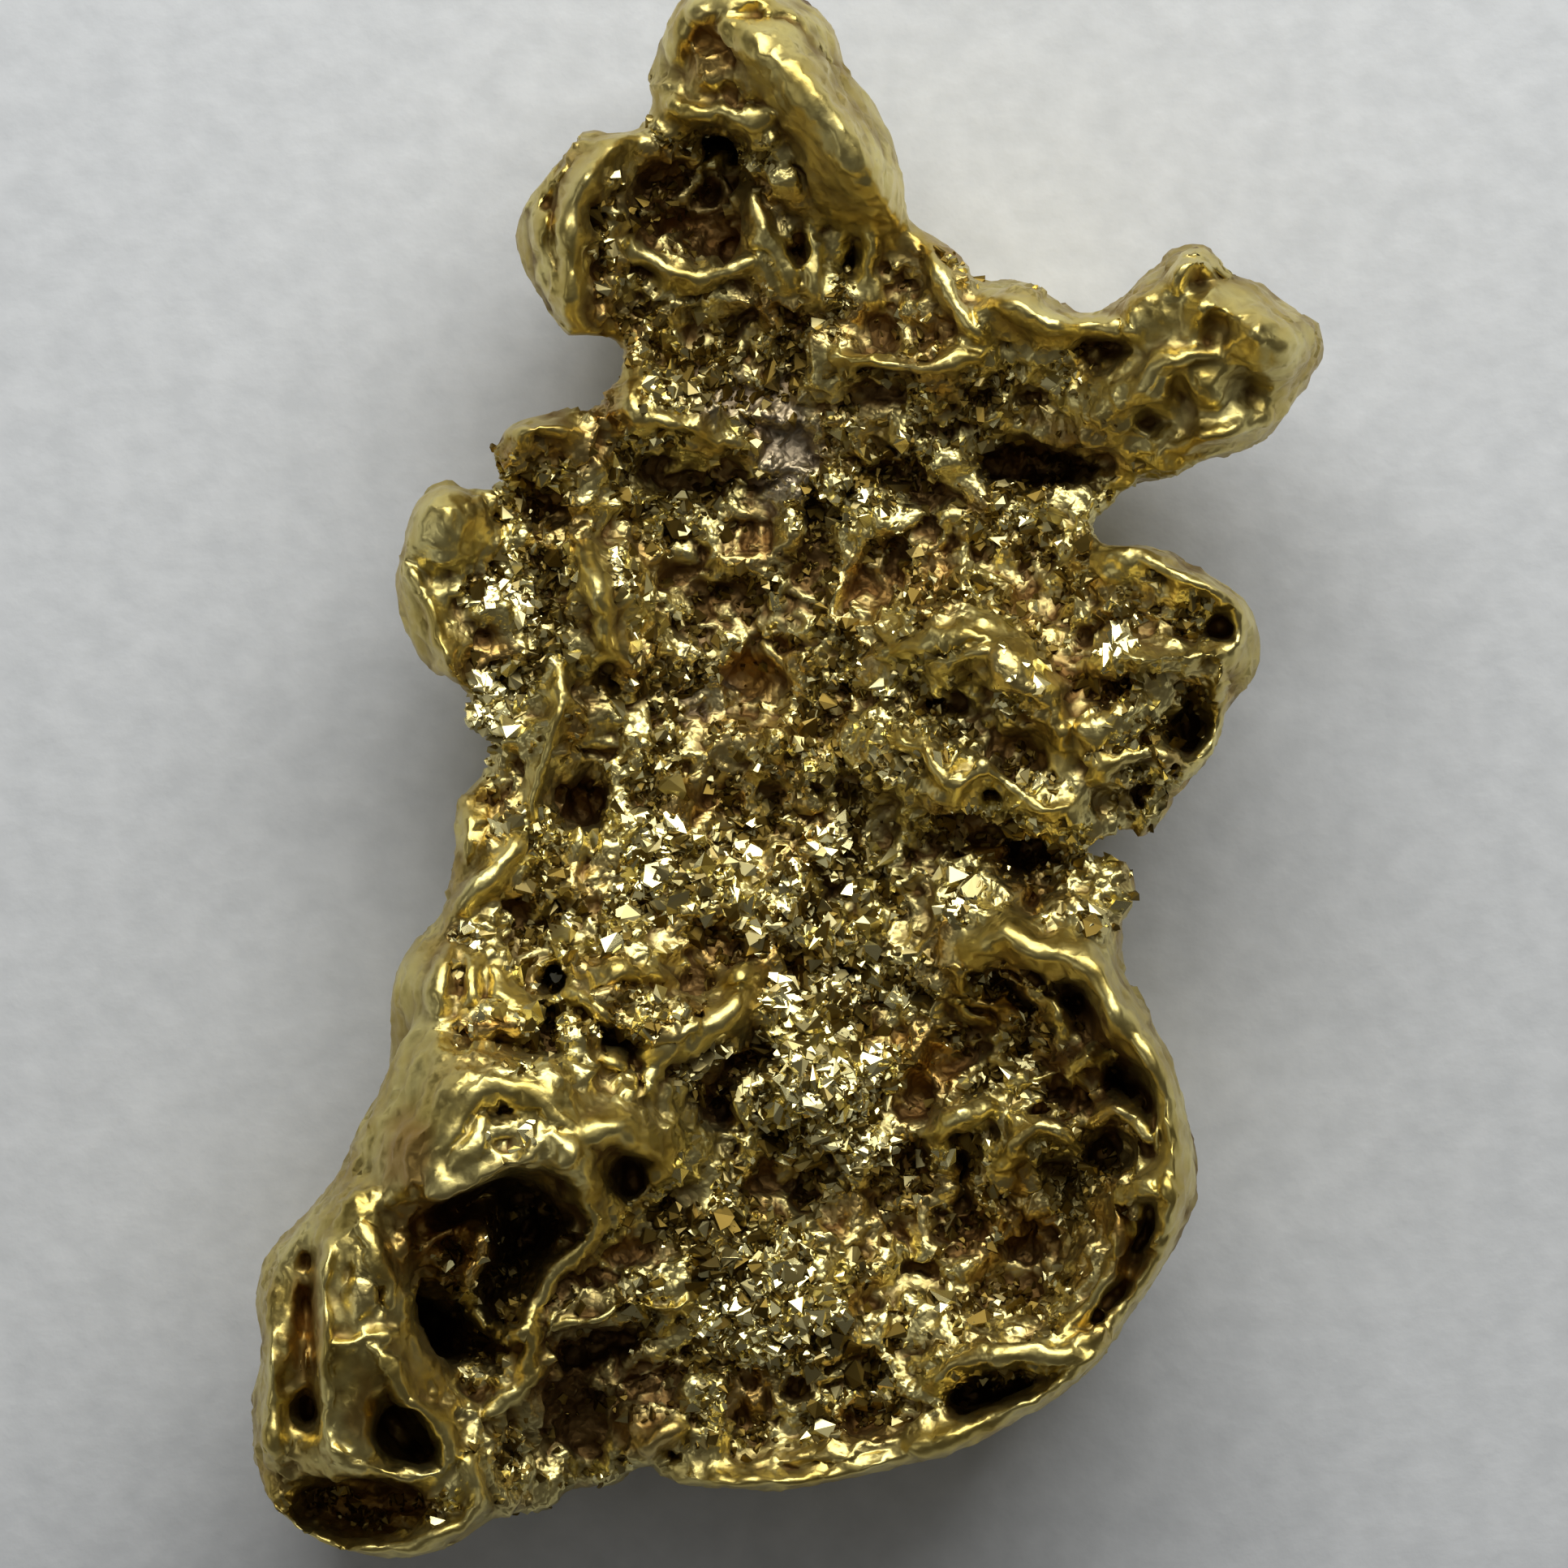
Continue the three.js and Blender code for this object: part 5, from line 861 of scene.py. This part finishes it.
fine_mesh = nugget_mesh
share_kept = SKIN_TRIANGLES / triangles_in(fine_mesh)
nugget_mesh = after_modifier(
    fine_mesh, "DECIMATE", ratio=share_kept, use_collapse_triangulate=True,
)
print("skin", triangles_in(nugget_mesh), "triangles", [a.name for a in nugget_mesh.attributes])

# %% [markdown]
# ## Loose crystals and flakes
# Under a lens the hollows look like brown sugar: thousands of tiny crystals with flat
# faces, each catching the light on its own. A bump can't give those hard sparkles, so the
# crystals are real meshes. One is the convex hull of a few points near a sphere, which
# gives a stone with big flat faces. Copies of a dozen kinds are strewn over the grainy
# skin, half sunk in it, in four pieces. In three of them each stone is turned at random.
# The last piece has thin flakes on the shelves that face the light. They lean to halfway
# between the window and the camera, so that many of them flash at once.

# %% A few kinds of crystal
CRYSTAL_KINDS = 12
CRYSTAL_CORNERS = 10


def crystal():
    """A stone about 2 across with flat faces: its corners, and its sides as triples."""
    stone = bmesh.new()
    for _ in range(CRYSTAL_CORNERS):
        stone.verts.new(Vector(rng.normal(size=3)).normalized() * rng.uniform(0.75, 1.1))
    bmesh.ops.convex_hull(stone, input=stone.verts)
    bmesh.ops.triangulate(stone, faces=stone.faces)
    bmesh.ops.delete(stone, geom=[v for v in stone.verts if not v.link_faces], context="VERTS")
    bmesh.ops.recalc_face_normals(stone, faces=stone.faces)
    stone.verts.index_update()
    corners = np.array([vert.co for vert in stone.verts])
    sides = np.array([[vert.index for vert in face.verts] for face in stone.faces])
    stone.free()
    return corners, sides


kinds = [crystal() for _ in range(CRYSTAL_KINDS)]
print("triangles a crystal", [len(sides) for _, sides in kinds])

# %% Strewing tools
SMALLEST, LARGEST = 0.03, 0.18
CRYSTAL_SPREAD = 0.4
# The last number raises a flake's tone, a painted highlight on the flakes that face the light.
FLAKE_THINNESS, FLAKE_SCATTER, FLAKE_PAINTED_HIGHLIGHT = 0.35, 0.16, 0.4
TO_THE_LIGHT = (0.1, 0.4, 0.91)


def strewn(mesh, chance, hollow, count):
    """Random places on the mesh, more where the chance is high, and how hollow each is."""
    mesh.calc_loop_triangles()
    corners = np.empty(len(mesh.loop_triangles) * 3, dtype=int)
    mesh.loop_triangles.foreach_get("vertices", corners)
    corners = corners.reshape(-1, 3)
    a, b, c = (places_of(mesh)[corners[:, turn]] for turn in range(3))
    area = np.linalg.norm(np.cross(b - a, c - a), axis=1)
    weight = area * chance[corners].mean(axis=1)
    chosen = rng.choice(len(corners), size=count, p=weight / weight.sum())
    depth = hollow[corners[chosen]].mean(axis=1)
    u, v = rng.random((2, count, 1))
    over = u + v > 1
    u, v = np.where(over, 1 - u, u), np.where(over, 1 - v, v)
    return a[chosen] + u * (b[chosen] - a[chosen]) + v * (c[chosen] - a[chosen]), depth


def random_turns(count):
    """Random rotations, as one 3 by 3 matrix each."""
    turns, _ = np.linalg.qr(rng.normal(size=(count, 3, 3)))
    turns[np.linalg.det(turns) < 0] *= -1
    return turns


def leaning_turns(count):
    """Rotations that lay a flake's flat side towards the light, each a little its own way."""
    face = np.array(TO_THE_LIGHT) + FLAKE_SCATTER * rng.normal(size=(count, 3))
    face /= np.linalg.norm(face, axis=1)[:, None]
    side = np.cross(face, rng.normal(size=(count, 3)))
    side /= np.linalg.norm(side, axis=1)[:, None]
    return np.stack([side, np.cross(face, side), face], axis=2)


def crystal_mesh(name, size, flakes, spots, depth):
    """One mesh of a crystal or a flake at each spot, turned and stretched at random."""
    count = len(spots)
    half = np.clip(size * np.exp(CRYSTAL_SPREAD * rng.normal(size=count)), SMALLEST, LARGEST)
    shape = half[:, None] * rng.uniform(0.65, 1.35, (count, 3))
    turns = leaning_turns(count) if flakes else random_turns(count)
    if flakes:
        shape *= (1, 1, FLAKE_THINNESS)
    # Over a random tone: painted shade for crystals in hollows, a painted highlight for flakes.
    tone = np.clip(rng.random(count) + FLAKE_PAINTED_HIGHLIGHT * flakes - depth, 0, 1)
    kind_of = rng.integers(CRYSTAL_KINDS, size=count)
    corners, sides, tones = [], [], []
    known = 0
    for number, (kind_corners, kind_sides) in enumerate(kinds):
        mine = np.flatnonzero(kind_of == number)
        local = kind_corners[None] * shape[mine][:, None, :]
        placed = np.einsum("nij,nkj->nki", turns[mine], local) + spots[mine][:, None, :]
        starts = known + np.arange(len(mine)) * len(kind_corners)
        corners.append(placed.reshape(-1, 3))
        sides.append((kind_sides[None] + starts[:, None, None]).reshape(-1, 3))
        tones.append(np.repeat(tone[mine], len(kind_corners)))
        known += len(mine) * len(kind_corners)
    mesh = bpy.data.meshes.new(name)
    mesh.from_pydata(np.vstack(corners).tolist(), [], np.vstack(sides).tolist())
    store(mesh, "tone", np.concatenate(tones))
    return mesh


# %% Strew the crystals over the skin
CLUSTER_SIZE, BETWEEN_CLUSTERS = 0.7, 0.03
BARE_BELOW, BARE_FADE = 1.6, 0.8
CRYSTAL_GRAIN, FLAKE_GRAIN = 0.6, 0.4
BRIGHT_SWELLS = ("basin_bright", "basin_upper", "basin_foot")

upper = np.clip((height - BARE_BELOW) / BARE_FADE, 0, 1) * np.clip(1.6 * normals[:, 2] - 0.3, 0, 1)
clustered = np.clip(0.4 + 3 * lumps(places, CLUSTER_SIZE), BETWEEN_CLUSTERS, 1)
calm = np.clip(1.6 * dark, 0, 0.9)
likely = np.clip(grainy - CRYSTAL_GRAIN, 0, 1) * upper * clustered * (1 - calm)
near_swell = np.zeros(len(places))
for points, width, _ in (SWELLS[name] for name in BRIGHT_SWELLS):
    away, _ = stroke_distance(places[:, :2], points, width)
    near_swell = np.maximum(near_swell, np.clip(1.2 - away / width, 0, 1))
shelves = [(*oval, 1.0) for *oval, rise in LEANING if rise > 0]
on_shelf = patch_share(ragged_plan, shelves, FLAKE_FADE)
flakes_likely = np.clip(grainy - FLAKE_GRAIN, 0, 1) * upper * clustered * on_shelf
# Each piece: the size of its stones, how many, whether they are flakes, and where.
CRYSTAL_PIECES = {
    "crystals_first": (0.055, 6000, False, likely),
    "crystals_second": (0.075, 4500, False, likely),
    "crystals_bright": (0.1, 1800, False, likely ** 0.5 * near_swell),
    "flakes": (0.11, 3000, True, flakes_likely),
}
crystal_meshes = [
    crystal_mesh(name, size, flakes, *strewn(fine_mesh, chance, hollow, count))
    for name, (size, count, flakes, chance) in CRYSTAL_PIECES.items()
]
print("crystal triangles", [len(mesh.polygons) for mesh in crystal_meshes])

# %% [markdown]
# ## Back to metres, as pieces of the frame
# The finished meshes are scaled to metres and become pieces that stand for the CAD node.
# Their objects stay at the origin, unturned and unscaled, and ride on the only body.

# %% The pieces


def piece(name, mesh, smooth):
    """Puts a finished mesh in millimetres into the scene as part of the nugget."""
    mesh.name = name
    mesh.transform(Matrix.Scale(MM, 4))
    mesh.polygons.foreach_set("use_smooth", [smooth] * len(mesh.polygons))
    made = in_scene(name, mesh)
    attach(made, "root")
    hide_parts("nugget")
    print(name, triangles_in(mesh), "triangles")
    return made


nugget = piece("nugget_skin", nugget_mesh, True)
crystals = [piece(name, mesh, False) for name, mesh in zip(CRYSTAL_PIECES, crystal_meshes)]

# %% [markdown]
# ## Gold
# Gold is a metal, so all its colour is in what it reflects. One pale yellow does most of
# the work: light that bounces twice between two walls of a cave is tinted twice, which
# turns it a deep orange brown with no paint. On top of that, a painted brown lies in the
# hollows and on steep walls and dulls them, partly iron stain and partly painted shade.
# All of the gold has a fine bump.

# %% Helpers for nodes


def new_material(name):
    """An empty node material and its node tree."""
    made = bpy.data.materials.new(name)
    made.use_nodes = True
    made.node_tree.nodes.clear()
    return made, made.node_tree


def feed(tree, socket, value):
    """Gives a socket a number or a colour, or links another node's output to it."""
    if isinstance(value, bpy.types.NodeSocket):
        tree.links.new(value, socket)
    elif isinstance(value, tuple):
        socket.default_value = (*value, 1.0)
    else:
        socket.default_value = value


def add(tree, kind, **settings):
    """A node with its settings. Names with a capital are its inputs."""
    node = tree.nodes.new(kind)
    for key, value in settings.items():
        if key[0].isupper():
            feed(tree, node.inputs[key.replace("_", " ")], value)
        else:
            setattr(node, key, value)
    return node


def object_places(tree):
    """Where each point lies in its object, in metres."""
    return add(tree, "ShaderNodeTexCoord").outputs["Object"]


def attribute(tree, name):
    """The output of a number that the mesh carries."""
    return add(tree, "ShaderNodeAttribute", attribute_name=name).outputs["Fac"]


def blend_colours(tree, share, low, high):
    """A colour between two, each a plain colour or another node's output."""
    mix = add(tree, "ShaderNodeMix", data_type="RGBA", Factor=share)
    feed(tree, mix.inputs[6], low)
    feed(tree, mix.inputs[7], high)
    return mix.outputs[2]


def ranged(tree, value, from_low, from_high, to_low, to_high):
    """The value moved from one range to another, and held inside it."""
    return add(
        tree, "ShaderNodeMapRange", Value=value,
        From_Min=from_low, From_Max=from_high, To_Min=to_low, To_Max=to_high,
    ).outputs["Result"]


def maths(tree, operation, a, b):
    """One sum of two numbers or outputs."""
    node = add(tree, "ShaderNodeMath", operation=operation)
    feed(tree, node.inputs[0], a)
    feed(tree, node.inputs[1], b)
    return node.outputs["Value"]


def noise_of(tree, where, size, detail=3.0):
    """Soft noise with features about this many millimetres across."""
    scale = 1 / (size * MM)
    node = add(tree, "ShaderNodeTexNoise", Vector=where, Scale=scale, Detail=detail)
    return node.outputs["Fac"]


def bump_of(tree, height, strength, depth):
    """The direction of a surface with a bump of this height and depth in millimetres."""
    node = add(
        tree, "ShaderNodeBump", Strength=strength, Distance=depth * MM, Height=height,
    )
    return node.outputs["Normal"]


def finish_material(tree, **inputs):
    """The shader with its inputs, and the material's output."""
    shader = add(tree, "ShaderNodeBsdfPrincipled", **inputs)
    add(tree, "ShaderNodeOutputMaterial", Surface=shader.outputs["BSDF"])


# %% Gold of the skin
PALE_GOLD = (0.77, 0.66, 0.26)
RICH_GOLD = (0.55, 0.42, 0.11)
FRESH_GOLD = (0.80, 0.70, 0.31)
# Brown of iron stain and of painted shade, laid on by the hollow attribute.
STAIN_AND_SHADE = (0.12, 0.056, 0.015)
OCHRE = (0.36, 0.20, 0.045)
CLAY = (0.34, 0.28, 0.19)
TINT_PATCH, RUST_PATCH, SCUFF, GRIT = 0.8, 0.9, 0.12, 0.09
FINE_MARK, BROAD_MARK, MARK_DEPTH = 0.05, 0.25, 0.03

gold, tree = new_material("native_gold")
where = object_places(tree)
grainy_share = attribute(tree, "grainy")

tint = ranged(tree, noise_of(tree, where, TINT_PATCH, 5.0), 0.35, 0.65, 0.0, 1.0)
worn = blend_colours(tree, tint, PALE_GOLD, RICH_GOLD)
clean = blend_colours(tree, ranged(tree, grainy_share, 0.4, 1.0, 0.0, 0.6), worn, FRESH_GOLD)
rust = ranged(tree, noise_of(tree, where, RUST_PATCH), 0.46, 0.66, 0.0, 0.8)
earthy = blend_colours(tree, maths(tree, "MULTIPLY", rust, grainy_share), clean, OCHRE)
# Painted shade and iron stain both come in through the hollow attribute.
stain_and_shade = ranged(tree, attribute(tree, "hollow"), 0.0, 0.6, 0.0, 0.93)
brown = blend_colours(tree, stain_and_shade, earthy, STAIN_AND_SHADE)
rusty = blend_colours(tree, attribute(tree, "ochre"), brown, OCHRE)
colour = blend_colours(tree, attribute(tree, "clay"), rusty, CLAY)

shine = ranged(tree, grainy_share, 0.0, 1.0, 0.36, 0.3)
scuffs = ranged(tree, noise_of(tree, where, SCUFF), 0.3, 0.7, -0.05, 0.08)
dull = maths(tree, "MULTIPLY", stain_and_shade, 0.25)
roughness = maths(tree, "ADD", maths(tree, "ADD", shine, scuffs), dull)

fine_marks = maths(tree, "MULTIPLY", noise_of(tree, where, FINE_MARK, 4.0), 0.12)
broad_marks = maths(tree, "MULTIPLY", noise_of(tree, where, BROAD_MARK, 2.0), 0.5)
cells = add(tree, "ShaderNodeTexVoronoi", feature="F1", Vector=where, Scale=1 / (GRIT * MM))
grit = maths(tree, "MULTIPLY", cells.outputs["Distance"], grainy_share)
marks = maths(tree, "ADD", fine_marks, broad_marks)
marks = maths(tree, "ADD", marks, maths(tree, "MULTIPLY", grit, -0.8))
finish_material(
    tree, Base_Color=colour, Metallic=1.0, Roughness=roughness,
    Normal=bump_of(tree, marks, 0.6, MARK_DEPTH),
)
nugget.data.materials.append(gold)

# %% [markdown]
# ## Gold of the crystals
# Each crystal carries one number, its tone, which is random less how hollow its place is,
# and higher for a flake. It makes some crystals clean and bright and others dull and dark:
# stain at random, painted shade where they sit low in a hollow, and a painted highlight on
# the flakes.

# %% Crystal gold
CRYSTAL_BRIGHT = (0.88, 0.79, 0.39)
# Dark crystal gold: stain, and painted shade for crystals low in a hollow.
CRYSTAL_STAINED_AND_SHADED = (0.165, 0.11, 0.024)

crystal_gold, tree = new_material("crystal_gold")
tone = attribute(tree, "tone")
shade = ranged(tree, tone, 0.2, 0.9, 0.0, 1.0)
finish_material(
    tree, Base_Color=blend_colours(tree, shade, CRYSTAL_STAINED_AND_SHADED, CRYSTAL_BRIGHT), Metallic=1.0,
    Roughness=ranged(tree, tone, 0.0, 1.0, 0.45, 0.2),
)
for made in crystals:
    made.data.materials.append(crystal_gold)

# %% [markdown]
# ## Paper, light and air
# The nugget lies on plain pale paper. A wide soft window stands beyond the crown, near
# enough that the paper grows darker towards the foot. A weak light straight above and
# another at the left keep the flanks from going black. The air round the scene is warm
# and dim, because the dark between the lights is what makes metal look like metal.

# %% Paper
PAPER_DARK = (0.59, 0.61, 0.63)
PAPER_LIGHT = (0.67, 0.69, 0.71)
MOTTLE, MOTTLE_DEPTH = 0.5, 0.02
FLOOR_HALF = 300
FLOOR_DROP = 0.02

paper, tree = new_material("pale_paper")
where = object_places(tree)
mottle = ranged(tree, noise_of(tree, where, MOTTLE, 4.0), 0.3, 0.7, 0.0, 1.0)
finish_material(
    tree, Base_Color=blend_colours(tree, mottle, PAPER_DARK, PAPER_LIGHT), Roughness=0.9,
    Normal=bump_of(tree, mottle, 0.4, MOTTLE_DEPTH),
)

form = bmesh.new()
bmesh.ops.create_grid(form, x_segments=1, y_segments=1, size=FLOOR_HALF * MM)
floor_mesh = bpy.data.meshes.new("floor")
form.to_mesh(floor_mesh)
form.free()
floor_mesh.materials.append(paper)
floor = in_scene("floor", floor_mesh)
floor.location.z = -FLOOR_DROP * MM

# %% Lights
# Each light: its place and its width and height in millimetres, its watts and its colour.
LIGHTS = {
    "window": ((8, 54, 50), (92, 52), 0.072, (1.0, 1.0, 0.98)),
    "ceiling": ((0, 10, 150), (90, 90), 0.007, (0.98, 1.0, 1.0)),
    "bounce": ((-90, -30, 60), (50, 50), 0.006, (0.95, 0.97, 1.0)),
}
AIR_COLOUR, AIR_STRENGTH = (1.0, 0.95, 0.88, 1.0), 0.08


def soft_light(name, place, size, watts, colour):
    """A soft light that is turned to the nugget."""
    data = bpy.data.lights.new(name, "AREA")
    data.shape = "RECTANGLE"
    data.size, data.size_y = (side * MM for side in size)
    data.energy = watts
    data.color = colour
    made = in_scene(name, data)
    made.location = Vector(place) * MM
    made.rotation_euler = (-Vector(place)).to_track_quat("-Z", "Y").to_euler()


for name, light in LIGHTS.items():
    soft_light(name, *light)
world = bpy.data.worlds.new("dim_air")
world.use_nodes = True
air = world.node_tree.nodes["Background"]
air.inputs["Color"].default_value = AIR_COLOUR
air.inputs["Strength"].default_value = AIR_STRENGTH
scene.world = world
scene.view_settings.view_transform = "Standard"
